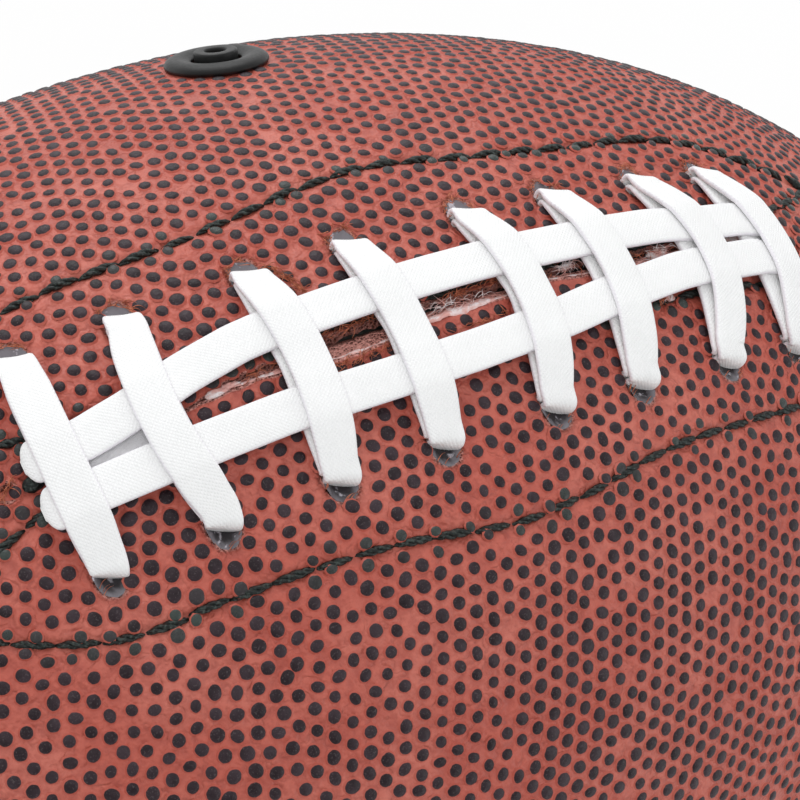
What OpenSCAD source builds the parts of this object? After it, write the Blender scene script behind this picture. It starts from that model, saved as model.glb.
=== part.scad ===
/* [Ball] */
// Length of the ball from tip to tip
ball_l = 281; // [276:0.5:288]
// Diameter of the ball at its belly
ball_d = 171.4; // [168:0.2:174]
// Power of the belly curve: 0.5 is an ellipse, more draws the ends to points
belly_power = 0.566; // [0.5:0.002:0.6]

/* [Casing] */
// Thickness of the leather panels
leather_t = 2; // [1.6:0.1:2.4]
// Thickness of the cloth lining under each panel
lining_t = 0.9; // [0.6:0.1:1.2]
// Thickness of a panel edge where it is turned in and sewn
allowance_t = 1.3; // [1:0.1:1.6]
// How far a turned-in edge stands below the leather
allowance_h = 2.8; // [2.6:0.1:3.4]
// Width of the groove on each side of a seam
groove_w = 1.2; // [0.6:0.1:1.6]
// Depth of the groove along a seam
groove_h = 0.7; // [0.4:0.1:1]
// Thickness of the seam thread
thread_t = 0.8; // [0.6:0.1:1]
// Distance between two stitches of a seam
stitch_pitch = 9; // [7:0.5:14]

/* [Lacing] */
// Width of the lace
lace_w = 5.8; // [5:0.1:6.6]
// Thickness of the lace
lace_t = 1; // [0.8:0.1:1.4]
// Width of the lace where it is drawn through a hole
drawn_w = 5; // [4:0.1:5.2]
// Clearance between the lace's layers above the leather
lace_gap = 0.15; // [0.1:0.05:0.3]
// Number of lace crosses
cross_count = 8; // [5:1:8]
// Distance between two lace crosses, along the ball
cross_pitch = 16.03; // [15:0.1:17]
// Distance of the lace holes' centres from the slit
hole_reach = 14.8; // [14:0.1:16]
// Diameter of the lace holes
hole_d = 6.4; // [6.3:0.1:7.4]
// Width of the slit under the lacing
slit_w = 2.4; // [1.6:0.1:3]
// Distance of the slit's closed end beyond the first cross
slit_start_step = 1.4; // [1:0.1:3]
// Diameter of the round hole at the slit's other end
slit_end_d = 7.8; // [7.6:0.1:8.4]
// Distance of that hole beyond the last cross
slit_end_step = 7.2; // [7:0.1:9]
// Distance of the two long runs of lace from the slit
run_reach = 6; // [5.9:0.1:6.2]
// How far the lace's two ends show past the first cross
tail_l = 2.2; // [1.6:0.1:3]

/* [Facing] */
// Length of the sewn facing outline beside the slit
facing_l = 166; // [158:1:174]
// Distance of its outer row of stitches from the slit
facing_w = 24.4; // [23:0.2:27]
// Thickness of the facing under each lace panel
facing_t = 1.1; // [0.8:0.1:1.4]
// Margin of the facing outside its stitches
facing_margin = 2.4; // [1.6:0.1:2.6]
// Width of the stitching thread
stitch_w = 1.1; // [0.8:0.1:1.4]
// Thickness of the stitching thread
stitch_t = 0.8; // [0.6:0.1:1]
// How far the stitching thread stands above the leather
stitch_proud = 0.1; // [0:0.05:0.15]
// Thickness of the tongue under the lacing
tongue_t = 1.2; // [1:0.1:1.6]
// Width of the tongue
tongue_w = 42; // [38:1:44]
// How far the tongue reaches past the slit's end hole
tongue_end = 3; // [1:0.5:5]

/* [Bladder] */
// Thickness of the bladder's rubber
bladder_t = 0.8; // [0.6:0.1:1.2]
// Diameter of the patch that holds the valve
patch_d = 26; // [22:1:30]
// Thickness of the patch that holds the valve
patch_t = 0.9; // [0.7:0.1:1]

/* [Valve] */
// Angle of the valve from the lacing, round the ball
valve_angle = 45; // [42:1:48]
// Diameter of the domed rubber collar
collar_d = 15.8; // [14:0.2:17]
// Height of the collar above the leather
collar_h = 1.5; // [1:0.1:2]
// Height of the collar beside the ring groove
collar_rim_h = 0.4; // [0.3:0.1:0.8]
// Diameter of the collar's neck, through the leather
neck_d = 11; // [10:0.2:12]
// Diameter of the raised hub in the middle of the collar
hub_d = 6.8; // [6:0.1:7.4]
// Width of the ring groove round the hub
ring_w = 0.5; // [0.4:0.1:0.9]
// Height of the hub above the leather
hub_h = 1.1; // [0.6:0.1:1.4]
// Diameter of the hole for the inflating needle
needle_d = 2.8; // [2.2:0.1:3]
// Depth of the needle hole below the leather
needle_h = 7.6; // [7.2:0.1:9]
// Length of the self-sealing plug
plug_l = 6; // [5:0.1:8]
// Diameter of the self-sealing plug
plug_d = 4.6; // [4:0.1:5]
// Diameter of the stem's foot inside the bladder
foot_d = 13; // [11:0.5:15]
// Thickness of the stem's foot
foot_t = 1.2; // [0.8:0.1:1.6]

/* [Fit] */
// Clearance between two layers of the ball
gap = 0.3; // [0.2:0.05:0.35]
// Gap between two panel edges that are sewn together
seam_gap = 0.2; // [0.1:0.05:0.3]

/* [Hidden] */
$fn = 64;

// How far a cut runs past what it cuts
overrun = 2;
// Steps of the belly curve from tip to tip
belly_steps = 36;
// Directions of the seams round the ball, from straight down by the valve's side
seam_back = 0;
seam_far = 90;
seam_lace = 180;
seam_near = 270;

half_l = ball_l / 2;
half_d = ball_d / 2;
// Radius of the belly curve along the ball, at its middle
belly_r = half_l * half_l / (2 * belly_power * half_d);

// Depths below the leather's outside, in the order of the layers
lining_top = leather_t + gap;
facing_top = lining_top + lining_t + gap;
run_a_depth = facing_top + facing_t + gap + lace_t / 2;
run_b_depth = run_a_depth + lace_t + gap;
tongue_top = run_b_depth + lace_t / 2 + gap;
pocket_depth = tongue_top + tongue_t + gap;
allowance_end = leather_t + allowance_h;
bladder_top = allowance_end + gap;
bladder_in = bladder_top + bladder_t;
patch_top = bladder_top - gap - patch_t;
thread_depth = (lining_top + allowance_end) / 2;

// Heights of the lace's three layers above the leather
cross_a_h = lace_gap + lace_t / 2;
run_h = cross_a_h + lace_t + lace_gap;
cross_b_h = run_h + lace_t + lace_gap;

// Places of the lacing along the slit
last_cross = (cross_count - 1) / 2 * cross_pitch;
slit_start = last_cross + slit_start_step;
slit_end = last_cross + slit_end_step;
lace_step = (lace_t + gap) / 2;
reach_a = hole_reach - lace_step;
reach_b = hole_reach + lace_step;
bow_reach = reach_a - lace_t;

// How far each lace hole stands off its even place, in shares of cross_pitch
near_hole_shares = [0.03, -0.025, -0.005, -0.055, 0.06, -0.015, 0.045, 0.015];
far_hole_shares = [0.025, -0.065, 0.05, -0.02, 0.155, 0.105, 0.16, 0.06];
// How far each lower and each upper cross bows along the slit, in the same shares
lower_bow_shares = [-0.01, -0.055, 0.035, 0.055, 0.115, 0.08, 0.145, 0.045];
upper_bow_shares = [-0.09, -0.13, 0.07, 0.045, 0.12, 0.12, 0.24, 0.19];

// Half the ball's diameter at x, the slope there, and x from a length along the belly
function belly(x) = half_d * pow(1 - pow(x / half_l, 2), belly_power);
function slope(x) =
  -half_d * belly_power * 2 * x / (half_l * half_l) * pow(1 - pow(x / half_l, 2), belly_power - 1);
function along(s) = s - pow(s, 3) / (6 * belly_r * belly_r);

// A point s along the slit, d across it and h above the leather, from the ball's centre
function on_ball(s, d, h) =
  let (
    x = along(s),
    r = belly(x),
    m = slope(x),
    n = sqrt(1 + m * m),
    turn = d / r * 180 / PI
  )
  [x - m * h / n, (r + h / n) * sin(turn), (r + h / n) * cos(turn)];

// The belly curve at a depth, as [radius, x] points, out to a limit along the ball
function curve(depth, limit) =
  let (
    span = limit >= half_l - depth ? 90 : asin(limit / (half_l - depth)),
    steps = ceil(belly_steps * span / 90)
  )
  [
    for (k = [0:steps])
      let (t = span * (2 * k / steps - 1))
      [(half_d - depth) * pow(cos(t), 2 * belly_power), (half_l - depth) * sin(t)]
  ];

// The place of one cross along the slit, where it is d across it
function cross_s(i, d, bow_shares = lower_bow_shares) =
  let (q = max(-1, min(1, d / bow_reach)), near = near_hole_shares[i], far = far_hole_shares[i])
  i * cross_pitch - last_cross + cross_pitch * ((near + far + (far - near) * q) / 2 + bow_shares[i] * (1 - q * q));

function backwards(points) = [for (k = [len(points) - 1:-1:0]) points[k]];

function unit(v) = v / norm(v);

// The wall between two depths, as an outline to turn or to extrude
module wall(top, bottom, limit = ball_l) {
  polygon(concat(curve(top, limit), backwards(curve(bottom, limit))));
}

// Stands its children on the ball's axis, which lies along X
module on_axis(direction = 0) {
  translate([0, 0, half_d])
    rotate([0, 90, 0])
      rotate([0, 0, direction])
        children();
}

module shell(top, bottom, start = 0, span = 360, limit = ball_l) {
  on_axis(start)
    rotate_extrude(angle = span)
      wall(top, bottom, limit);
}

// Extrudes an outline along one seam, from one distance beside it to another
module beside_seam(direction, from, to) {
  on_axis(direction)
    translate([0, to, 0])
      rotate([90, 0, 0])
        linear_extrude(to - from)
          children();
}

// Puts its children on the leather, their Z pointing out of the ball
module on_leather(s, d) {
  x = along(s);
  translate([0, 0, half_d])
    rotate([-d / belly(x) * 180 / PI, 0, 0])
      translate([x, 0, belly(x)])
        rotate([0, -atan(slope(x)), 0])
          children();
}

module at_valve() {
  translate([0, 0, half_d])
    rotate([-valve_angle, 0, 0])
      translate([0, 0, half_d])
        children();
}

// A flat slab through the ball's axis, as wide as asked
module seam_slabs(width) {
  translate([0, 0, half_d]) {
    cube([ball_l + overrun, width, ball_d + overrun], center = true);
    cube([ball_l + overrun, ball_d + overrun, width], center = true);
  }
}

// Holes for the lace, and the slit with its round end, through the layers under them
module lace_holes(side) {
  for (i = [0:cross_count - 1])
    on_leather(cross_s(i, side * hole_reach), side * hole_reach)
      translate([0, 0, -pocket_depth])
        cylinder(d = hole_d, h = pocket_depth + overrun);
}

module slit() {
  translate([-along(slit_start), -slit_w / 2, ball_d - slit_drop])
    cube([along(slit_start) + along(slit_end), slit_w, slit_drop + overrun]);
  on_leather(slit_end, 0)
    translate([0, 0, -pocket_depth])
      cylinder(d = slit_end_d, h = pocket_depth + overrun);
}

// How far the slit's cut reaches below the ball's top, so that it clears the belly's fall
slit_drop = half_d - belly(along(slit_end)) + pocket_depth;

// Stitches of one seam, as [radius, x] points on the curve at the thread's depth
stitch_count = 2 * floor(half_l * PI / 2 / stitch_pitch);
function stitches(open) =
  let (row = curve(thread_depth, half_l), step = 180 / stitch_count)
  [
    for (k = [1:stitch_count - 1])
      let (t = k * step - 90, x = (half_l - thread_depth) * sin(t))
      if (!(open && x > -unsewn_start && x < unsewn_end) && abs(x) < half_l - 2 * stitch_pitch)
        [(half_d - thread_depth) * pow(cos(t), 2 * belly_power), x]
  ];

// Ends of the part of the lace seam that isn't sewn, along the slit
unsewn_start = along(slit_start) + slit_w;
unsewn_end = along(slit_end) + slit_end_d;
module sewn_part(open) {
  difference() {
    children();
    if (open)
      translate([0, -unsewn_start])
        square([half_d, unsewn_start + unsewn_end]);
  }
}

module allowance(direction, from, to, open) {
  beside_seam(direction, from, to)
    difference() {
      sewn_part(open)
        wall(groove_h, allowance_end);
      for (p = stitches(open))
        translate(p)
          circle(d = thread_t + gap);
    }
}

module panel(start, open_start = false, open_end = false) {
  difference() {
    union() {
      shell(0, leather_t, start, 90);
      allowance(start, seam_gap / 2, seam_gap / 2 + allowance_t, open_start);
      allowance(start + 90, -seam_gap / 2 - allowance_t, -seam_gap / 2, open_end);
    }
    seam_slabs(seam_gap);
    shell(-overrun, groove_h, start - groove_turn, 2 * groove_turn);
    shell(-overrun, groove_h, start + 90 - groove_turn, 2 * groove_turn);
  }
}

groove_turn = groove_w / half_d * 180 / PI;
// How far the linings stay from the seams, to leave room for the edges and their thread
lining_inset = seam_gap + 2 * (allowance_t + 2 * gap + thread_t);

module lining(start) {
  difference() {
    shell(lining_top, lining_top + lining_t, start, 90);
    seam_slabs(lining_inset);
  }
}

// A thread on each side of the two edges, joined by stitches through both
module seam_thread(direction, open = false) {
  side = seam_gap / 2 + allowance_t + gap;
  for (face = [-side - thread_t, side])
    beside_seam(direction, face, face + thread_t)
      sewn_part(open)
        wall(thread_depth - thread_t / 2, thread_depth + thread_t / 2, half_l - 2 * stitch_pitch);
  beside_seam(direction, -side - thread_t / 2, side + thread_t / 2)
    for (p = stitches(open))
      translate(p)
        circle(d = thread_t);
}

// Outline of one facing: shares of its half length, of its outer row and of the same
// for its inner row, from the middle of the slit to the tip
facing_shares = [
  [0, 1.17, 0.19], [0.12, 1.115, 0.19], [0.205, 1.065, 0.19], [0.36, 1, 0.19], [0.54, 1, 0.19],
  [0.65, 0.985, 0.19], [0.735, 0.92, 0.2], [0.8, 0.82, 0.29], [0.86, 0.715, 0.34],
  [0.92, 0.63, 0.39], [0.965, 0.56, 0.45], [1, 0.5, 0.5]
];

// The same closed outline with each corner cut at a quarter of both its sides
function eased(points) =
  [
    for (k = [0:len(points) - 1])
      let (a = points[k], b = points[(k + 1) % len(points)])
      each [(3 * a + b) / 4, (a + 3 * b) / 4]
  ];

// The outline grown by a margin, seen from above the slit; its two rows share their tip
function facing_row(side, margin, column) =
  [
    for (k = facing_shares)
      let (
        tip = k[0] == 1,
        spread = tip ? 0 : column == 1 ? margin : -margin * inner_share
      )
      if (column == 1 || !tip)
        on_ball(k[0] * (facing_l / 2 + margin), side * (k[column] * facing_w + spread), 0)
  ];
// The facing's inner margin, as a share of the outer one, because the slit lies there
inner_share = 0.9;

module facing_outline(side, margin) {
  outer = facing_row(side, margin, 1);
  inner = facing_row(side, margin, 2);
  half = concat([for (p = outer) [p.x, p.y]], backwards([for (p = inner) [p.x, p.y]]));
  rest = backwards([for (p = half) if (p.x > 0) [-p.x, p.y]]);
  polygon(eased(concat(half, rest)));
}

module facing(side) {
  difference() {
    intersection() {
      shell(facing_top, facing_top + facing_t, seam_lace - 45, 90);
      translate([0, 0, half_d])
        linear_extrude(half_d)
          facing_outline(side, facing_margin);
    }
    lace_holes(side);
    slit();
  }
}

// The thread's closed row, this much wider on each side, and the layer that it fills
module stitch_row(side, margin, top, bottom) {
  intersection() {
    shell(top, bottom, seam_lace - 45, 90);
    translate([0, 0, half_d])
      linear_extrude(ball_d)
        difference() {
          facing_outline(side, stitch_w / 2 + margin);
          facing_outline(side, -stitch_w / 2 - margin);
        }
  }
}

module facing_stitch(side) {
  stitch_row(side, 0, -stitch_proud, stitch_t - stitch_proud);
}

// The thread has drawn itself this groove in the leather
module stitch_groove(side) {
  stitch_row(side, stitch_proud, -overrun, stitch_t);
}

module tongue() {
  turn = tongue_w / 2 / half_d * 180 / PI;
  color("tan")
    shell(tongue_top, tongue_top + tongue_t, seam_lace - turn, 2 * turn, along(slit_end) + slit_end_d / 2 + tongue_end);
}

// Room in the bladder's top for the lacing and the tongue
module pocket(wall_t) {
  turn = (tongue_w / 2 + gap + wall_t) / half_d * 180 / PI;
  limit = along(slit_end) + slit_end_d / 2 + tongue_end + 2 * gap + wall_t;
  shell(bladder_top - overrun, pocket_depth + wall_t, seam_lace - turn, 2 * turn, limit);
}

module bladder() {
  color("dimgray")
    difference() {
      on_axis()
        rotate_extrude()
          polygon(curve(bladder_top, ball_l));
      pocket(0);
      difference() {
        on_axis()
          rotate_extrude()
            polygon(curve(bladder_in, ball_l));
        pocket(bladder_t);
      }
      at_valve()
        translate([0, 0, -bladder_in - overrun])
          cylinder(d = hub_d + 2 * gap, h = bladder_t + 2 * overrun);
    }
}

module valve_patch() {
  color("black")
    intersection() {
      shell(patch_top, patch_top + patch_t, seam_lace - valve_angle - 22.5, 45, patch_d);
      at_valve()
        translate([0, 0, -pocket_depth])
          linear_extrude(pocket_depth)
            difference() {
              circle(d = patch_d);
              circle(d = hub_d + 2 * gap);
            }
    }
}

// How far a flat foot stays below the curved bladder
foot_drop = half_d - bladder_in - sqrt(pow(half_d - bladder_in, 2) - pow(foot_d / 2, 2));

module valve_stem() {
  foot_top = bladder_in + gap;
  stem_end = needle_h + plug_l;
  color("black")
    at_valve()
      difference() {
        union() {
          translate([0, 0, -stem_end])
            cylinder(d = hub_d, h = stem_end + hub_h);
          translate([0, 0, -foot_top - foot_drop - foot_t])
            cylinder(d = foot_d, h = foot_t);
        }
        translate([0, 0, -needle_h])
          cylinder(d = needle_d, h = needle_h + hub_h + overrun);
        translate([0, 0, -stem_end - overrun])
          cylinder(d = plug_d + gap, h = plug_l + overrun);
      }
}

module valve_plug() {
  color("gray")
    at_valve()
      translate([0, 0, -needle_h - plug_l])
        cylinder(d = plug_d, h = plug_l - gap);
}

// How far the leather falls away at a distance from the valve's axis
function fall(r) = half_d - sqrt(half_d * half_d - r * r);

// The collar's section: a neck, and over it a dome that falls to the groove and to the edge
collar_steps = 8;
module valve_collar() {
  inner = hub_d / 2 + ring_w;
  edge = collar_d / 2;
  crest = edge * crest_share;
  edge_h = gap - fall(edge);
  color("black")
    at_valve()
      rotate_extrude()
        polygon(concat(
          [[inner, -lining_top]],
          [
            for (k = [0:collar_steps - 1])
              let (t = k / collar_steps)
              [inner + (crest - inner) * t, collar_rim_h + (collar_h - collar_rim_h) * sin(90 * t)]
          ],
          [
            for (k = [0:collar_steps])
              let (t = k / collar_steps * 90)
              [crest + (edge - crest) * sin(t), edge_h + (collar_h - edge_h) * cos(t)]
          ],
          [[neck_d / 2, gap - fall(neck_d / 2)], [neck_d / 2, -lining_top]]
        ));
}
// Where the dome is highest, as a share of the collar's radius
crest_share = 0.7;

module valve_hole() {
  at_valve()
    translate([0, 0, -bladder_top])
      cylinder(d = neck_d + 2 * gap, h = bladder_top + overrun);
}

// The lace's route. Each point is [along the slit, across it, height, width, turn]:
// the turn swings the lace's width from along the slit, 0, to across it, 90.
corner_shares = [[0, 1], [0.3, 0.3], [1, 0]];

// A rounded corner between a drawn strand at one reach and a run at one height
function drawn(share) = lace_w + (drawn_w - lace_w) * share;
function corner(s, side, reach, level, down) =
  [
    for (c = corner_shares)
      [s, side * (reach - bend * c[0]), level + down * bend * c[1], drawn(c[1]), 0]
  ];

bend = lace_t;
run_edge = run_reach + lace_w / 2;

// One cross from the far hole to the near one, under the long runs
function end_a(i, side) = corner(cross_s(i, side * reach_a), side, reach_a, cross_a_h, -1);
function cross_a(i) =
  concat(
    end_a(i, 1),
    [for (k = [1.5, 1, 0.5, 0, -0.5, -1, -1.5]) [cross_s(i, k * run_reach), k * run_reach, cross_a_h, lace_w, 0]],
    backwards(end_a(i, -1))
  );

// The upper cross from its hole to the top of the run: shares of the way in, of the
// way up, and of the narrowing in the hole
shoulder_shares = [[0, -0.14, 1], [0.022, 0.18, 0.8], [0.16, 0.5, 0.3], [0.4, 0.72, 0], [0.94, 1, 0]];
function upper_s(i, d) = cross_s(i, d, upper_bow_shares);
function shoulder(i, side) =
  [
    for (c = shoulder_shares)
      let (d = side * (reach_b - c[0] * (reach_b - run_edge)))
      [upper_s(i, d), d, c[1] * cross_b_h, drawn(c[2]), 0]
  ];

// One cross from the near hole to the far one, over the long runs
function cross_b(i) =
  concat(
    shoulder(i, -1),
    [for (k = [-0.7, -0.35, 0, 0.35, 0.7]) [upper_s(i, k * run_edge), k * run_edge, cross_b_h, lace_w, 0]],
    backwards(shoulder(i, 1))
  );

// The run inside the ball, from the near hole to the far hole one cross back
function inner_run(i, side, reach, depth) = corner(cross_s(i, side * reach), side, reach, -depth, 1);
function inner_back(i, reach, depth) =
  let (near = cross_s(i, -reach), far = cross_s(i - 1, reach))
  concat(
    inner_run(i, -1, reach, depth),
    [for (k = [-1, 0, 1]) [(near + far) / 2 + (far - near) * k / 4, k * run_reach, -depth, lace_w, 0]],
    backwards(inner_run(i - 1, 1, reach, depth))
  );

// Places of the long runs: shares of the last cross's place and of run_reach
near_run_shares = [
  [-1, -0.95], [-0.8, -0.92], [-0.5, -0.87], [-0.2, -0.92], [0, -0.88], [0.13, -0.82], [0.27, -0.7],
  [0.4, -0.53], [0.53, -0.4], [0.67, -0.26], [0.8, -0.22], [1, -0.22]
];
far_run_shares = [
  [-1, 0.12], [-0.93, 0.18], [-0.8, 0.4], [-0.67, 0.72], [-0.53, 0.96], [-0.4, 1.04], [-0.27, 1.08],
  [0, 1.12], [0.27, 1.1], [0.4, 1.06], [0.53, 1.06], [0.67, 1.02], [0.8, 0.91], [1, 0.86]
];
// A long run has two points for each cross
run_steps = 2 * (cross_count - 1);
function long_run(shares) =
  [
    for (k = [0:run_steps])
      let (s = (2 * k / run_steps - 1) * last_cross)
      [s, lookup(s / last_cross, shares) * run_reach, run_h, lace_w, 90]
  ];

// The end that shows past the first cross and droops a little
function tail(shares) =
  let (d = lookup(-1, shares) * run_reach, edge = -last_cross - lace_w / 2)
  [[edge - tail_l, d, cross_a_h + lace_t / 2, lace_w, 90], [edge, d, run_h - lace_gap, lace_w, 90]];

// Both strands drop side by side through the slit's end hole
end_w = slit_end_d / 2 - 3 * gap;
end_d = end_w / 2 + gap / 2;
function drop(side, depth) = [
  [slit_end - bend, side * (end_w + gap), run_h, lace_w + (end_w - lace_w) * 0.5, 90],
  [slit_end - bend * 0.3, side * end_d, run_h - bend * 0.3, end_w, 90],
  [slit_end, side * end_d, run_h - 1.5 * bend, end_w, 90],
  [slit_end, side * end_d, -depth / 2, end_w, 90]
];

// Inside, the near strand turns to the last far hole and the far strand comes from it
function link_a() = [
  [slit_end - 0.3 * bend, -end_d, -run_a_depth + bend, end_w, 80],
  [slit_end - 1.6 * bend, -end_d, -run_a_depth + 0.2 * bend, end_w, 60],
  [slit_end - 2.8 * bend, end_d, -run_a_depth, end_w, 35],
  [cross_s(cross_count - 1, reach_a), reach_a / 2, -run_a_depth, drawn_w, 12]
];
function link_b() = [
  [slit_end, end_d, -run_b_depth + 1.2 * bend, end_w, 80],
  [slit_end - 0.2 * bend, end_d + 0.7 * bend, -run_b_depth + 0.2 * bend, end_w, 50],
  [slit_end - 1.4 * bend, end_d + 2.8 * bend, -run_b_depth, end_w, 30],
  [cross_s(cross_count - 1, reach_b), reach_b * 0.62, -run_b_depth, drawn_w, 12]
];

// After the first lower cross the lace folds back under itself. The shares: of lace_step
// in from run_reach, and of the way down from the upper run inside to the lower one.
fold_shares = [[0, 0], [1, 0.15], [1.3, 0.5], [1, 0.85], [0, 1]];
function fold() =
  concat(
    inner_run(0, -1, reach_a, run_a_depth),
    [
      for (c = fold_shares)
        [
          cross_s(0, -reach_a), c[0] * lace_step - run_reach,
          -run_a_depth - c[1] * (run_b_depth - run_a_depth), lace_w, 0
        ]
    ],
    backwards(inner_run(0, -1, reach_b, run_b_depth))
  );

function joined(lists) = [for (l = lists) each l];

lace_route = joined([
  tail(near_run_shares),
  long_run(near_run_shares),
  drop(-1, run_a_depth),
  link_a(),
  backwards(inner_run(cross_count - 1, 1, reach_a, run_a_depth)),
  joined([
    for (i = [cross_count - 1:-1:1])
      concat(cross_a(i), inner_back(i, reach_a, run_a_depth))
  ]),
  cross_a(0),
  fold(),
  joined([
    for (i = [0:cross_count - 2])
      concat(cross_b(i), backwards(inner_back(i + 1, reach_b, run_b_depth)))
  ]),
  cross_b(cross_count - 1),
  inner_run(cross_count - 1, 1, reach_b, run_b_depth),
  backwards(link_b()),
  backwards(drop(1, run_b_depth)),
  backwards(long_run(far_run_shares)),
  backwards(tail(far_run_shares))
]);

// The lace's section: a flat strap with rounded edges, width and thickness in shares
section_shares = [
  [-0.5, -0.25], [-0.42, -0.5], [0.42, -0.5], [0.5, -0.25], [0.5, 0.25], [0.42, 0.5], [-0.42, 0.5], [-0.5, 0.25]
];

function place(p) = on_ball(p[0], p[1], p[2]);
function width_way(p) =
  let (
    o = place(p),
    u = place([p[0] + lace_t, p[1], p[2]]) - o,
    v = place([p[0], p[1] + lace_t, p[2]]) - o
  )
  unit(unit(u) * cos(p[4]) + unit(v) * sin(p[4]));

function ring(k) =
  let (
    last = len(lace_route) - 1,
    c = place(lace_route[k]),
    t = unit(place(lace_route[min(k + 1, last)]) - place(lace_route[max(k - 1, 0)])),
    w0 = width_way(lace_route[k]),
    w = unit(w0 - t * (w0 * t)),
    n = cross(t, w)
  )
  [for (q = section_shares) c + w * q[0] * lace_route[k][3] + n * q[1] * lace_t];

module lace() {
  rings = [for (k = [0:len(lace_route) - 1]) each ring(k)];
  sides = len(section_shares);
  count = len(lace_route);
  skin = [
    for (k = [0:count - 2], j = [0:sides - 1])
      let (a = k * sides + j, b = k * sides + (j + 1) % sides, c = a + sides, d = b + sides)
      each [[a, b, d], [a, d, c]]
  ];
  start_cap = [for (j = [1:sides - 2]) [0, j + 1, j]];
  end_cap = [for (j = [1:sides - 2]) [for (m = [0, j, j + 1]) (count - 1) * sides + m]];
  color("white")
    translate([0, 0, half_d])
      polyhedron(rings, concat(skin, start_cap, end_cap));
}

module panel_lace_near() {
  color("indianred")
    difference() {
      panel(seam_lace, open_start = true);
      slit();
      lace_holes(-1);
      stitch_groove(-1);
    }
}

module panel_lace_valve() {
  color("indianred")
    difference() {
      panel(seam_far, open_end = true);
      slit();
      lace_holes(1);
      stitch_groove(1);
      valve_hole();
    }
}

module panel_back_near() {
  color("indianred")
    panel(seam_near);
}

module panel_back_far() {
  color("indianred")
    panel(seam_back);
}

module lining_lace_near() {
  color("ivory")
    difference() {
      lining(seam_lace);
      lace_holes(-1);
      slit();
    }
}

module lining_lace_valve() {
  color("ivory")
    difference() {
      lining(seam_far);
      lace_holes(1);
      slit();
      valve_hole();
    }
}

module lining_back_near() {
  color("ivory")
    lining(seam_near);
}

module lining_back_far() {
  color("ivory")
    lining(seam_back);
}

module seam_thread_lace() {
  color("dimgray")
    seam_thread(seam_lace, open = true);
}

module seam_thread_near() {
  color("dimgray")
    seam_thread(seam_near);
}

module seam_thread_back() {
  color("dimgray")
    seam_thread(seam_back);
}

module seam_thread_far() {
  color("dimgray")
    seam_thread(seam_far);
}

module facing_near() {
  color("sienna")
    facing(-1);
}

module facing_far() {
  color("sienna")
    facing(1);
}

module facing_stitch_near() {
  color("black")
    facing_stitch(-1);
}

module facing_stitch_far() {
  color("black")
    facing_stitch(1);
}

panel_lace_near();
panel_lace_valve();
panel_back_near();
panel_back_far();
lining_lace_near();
lining_lace_valve();
lining_back_near();
lining_back_far();
seam_thread_lace();
seam_thread_near();
seam_thread_back();
seam_thread_far();
facing_near();
facing_far();
facing_stitch_near();
facing_stitch_far();
tongue();
lace();
bladder();
valve_patch();
valve_stem();
valve_plug();
valve_collar();
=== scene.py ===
import math

import bpy
import numpy as np
from mathutils import Euler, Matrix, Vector, noise


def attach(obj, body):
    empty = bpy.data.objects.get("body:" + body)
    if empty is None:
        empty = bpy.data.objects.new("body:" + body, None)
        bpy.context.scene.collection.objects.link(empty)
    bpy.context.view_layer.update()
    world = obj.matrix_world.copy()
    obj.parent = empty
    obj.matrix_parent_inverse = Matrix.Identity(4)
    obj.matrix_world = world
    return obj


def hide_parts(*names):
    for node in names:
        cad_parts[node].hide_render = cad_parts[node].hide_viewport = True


print("football: loading the frame")
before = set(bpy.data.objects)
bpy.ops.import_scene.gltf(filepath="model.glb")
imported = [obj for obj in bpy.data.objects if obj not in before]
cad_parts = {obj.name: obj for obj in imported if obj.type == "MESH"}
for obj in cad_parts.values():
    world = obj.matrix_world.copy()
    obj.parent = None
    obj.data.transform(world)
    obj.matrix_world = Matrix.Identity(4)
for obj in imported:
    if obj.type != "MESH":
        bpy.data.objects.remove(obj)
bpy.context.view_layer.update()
mm = 0.001  # the sizes below are in millimetres, the meshes in metres

# the ball's form
ball = {"length": 281.0, "across": 171.4, "bellyPower": 0.566, "pebbleRise": 0.42, "valveAngle": 45.0}
halfLength = ball["length"] / 2
halfAcross = ball["across"] / 2
ground = -ball["pebbleRise"]  # the leather between the pebbles, whose tops are on the ball's form
bellyRadius = halfLength ** 2 / (2 * ball["bellyPower"] * halfAcross)


def belly(x):
    inside = np.maximum(1 - (np.asarray(x) / halfLength) ** 2, 0)
    return halfAcross * inside ** ball["bellyPower"]


def slope(x):
    inside = np.maximum(1 - (np.asarray(x) / halfLength) ** 2, 1e-5)
    steep = halfAcross * ball["bellyPower"] * 2 / halfLength ** 2
    return -steep * x * inside ** (ball["bellyPower"] - 1)


def along(s):  # the place on the ball's axis of a length measured along the belly
    return s - np.asarray(s) ** 3 / (6 * bellyRadius ** 2)


lengthTable = np.linspace(-118, 118, 2361)


def lengthAt(x):
    return np.interp(x, along(lengthTable), lengthTable)


def skinPoint(x, turn, h):  # turn is in radians, from the lacing towards the valve's side
    x = np.asarray(x, float)
    lean = slope(x)
    n = np.sqrt(1 + lean ** 2)
    out = belly(x) + h / n
    return np.stack([x - lean * h / n, out * np.sin(turn), out * np.cos(turn) + halfAcross], -1)


def skinNormal(x, turn):
    lean = slope(np.asarray(x, float))
    n = np.sqrt(1 + lean ** 2)
    return np.stack([-lean / n, np.sin(turn) / n, np.cos(turn) / n], -1)


def laidPoint(s, d, h):  # s along the lacing, d across it, h above the leather
    x = along(s)
    return skinPoint(x, d / belly(x), h)


def laidNormal(s, d):
    x = along(s)
    return skinNormal(x, d / belly(x))


def smoothStep(low, high, value):
    share = np.clip((value - low) / (high - low), 0, 1)
    return share * share * (3 - 2 * share)


def bell(distance, width):
    return np.exp(-(distance / width) ** 2)


def unit(rows):
    return rows / np.maximum(np.linalg.norm(rows, axis=-1, keepdims=True), 1e-6)


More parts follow.
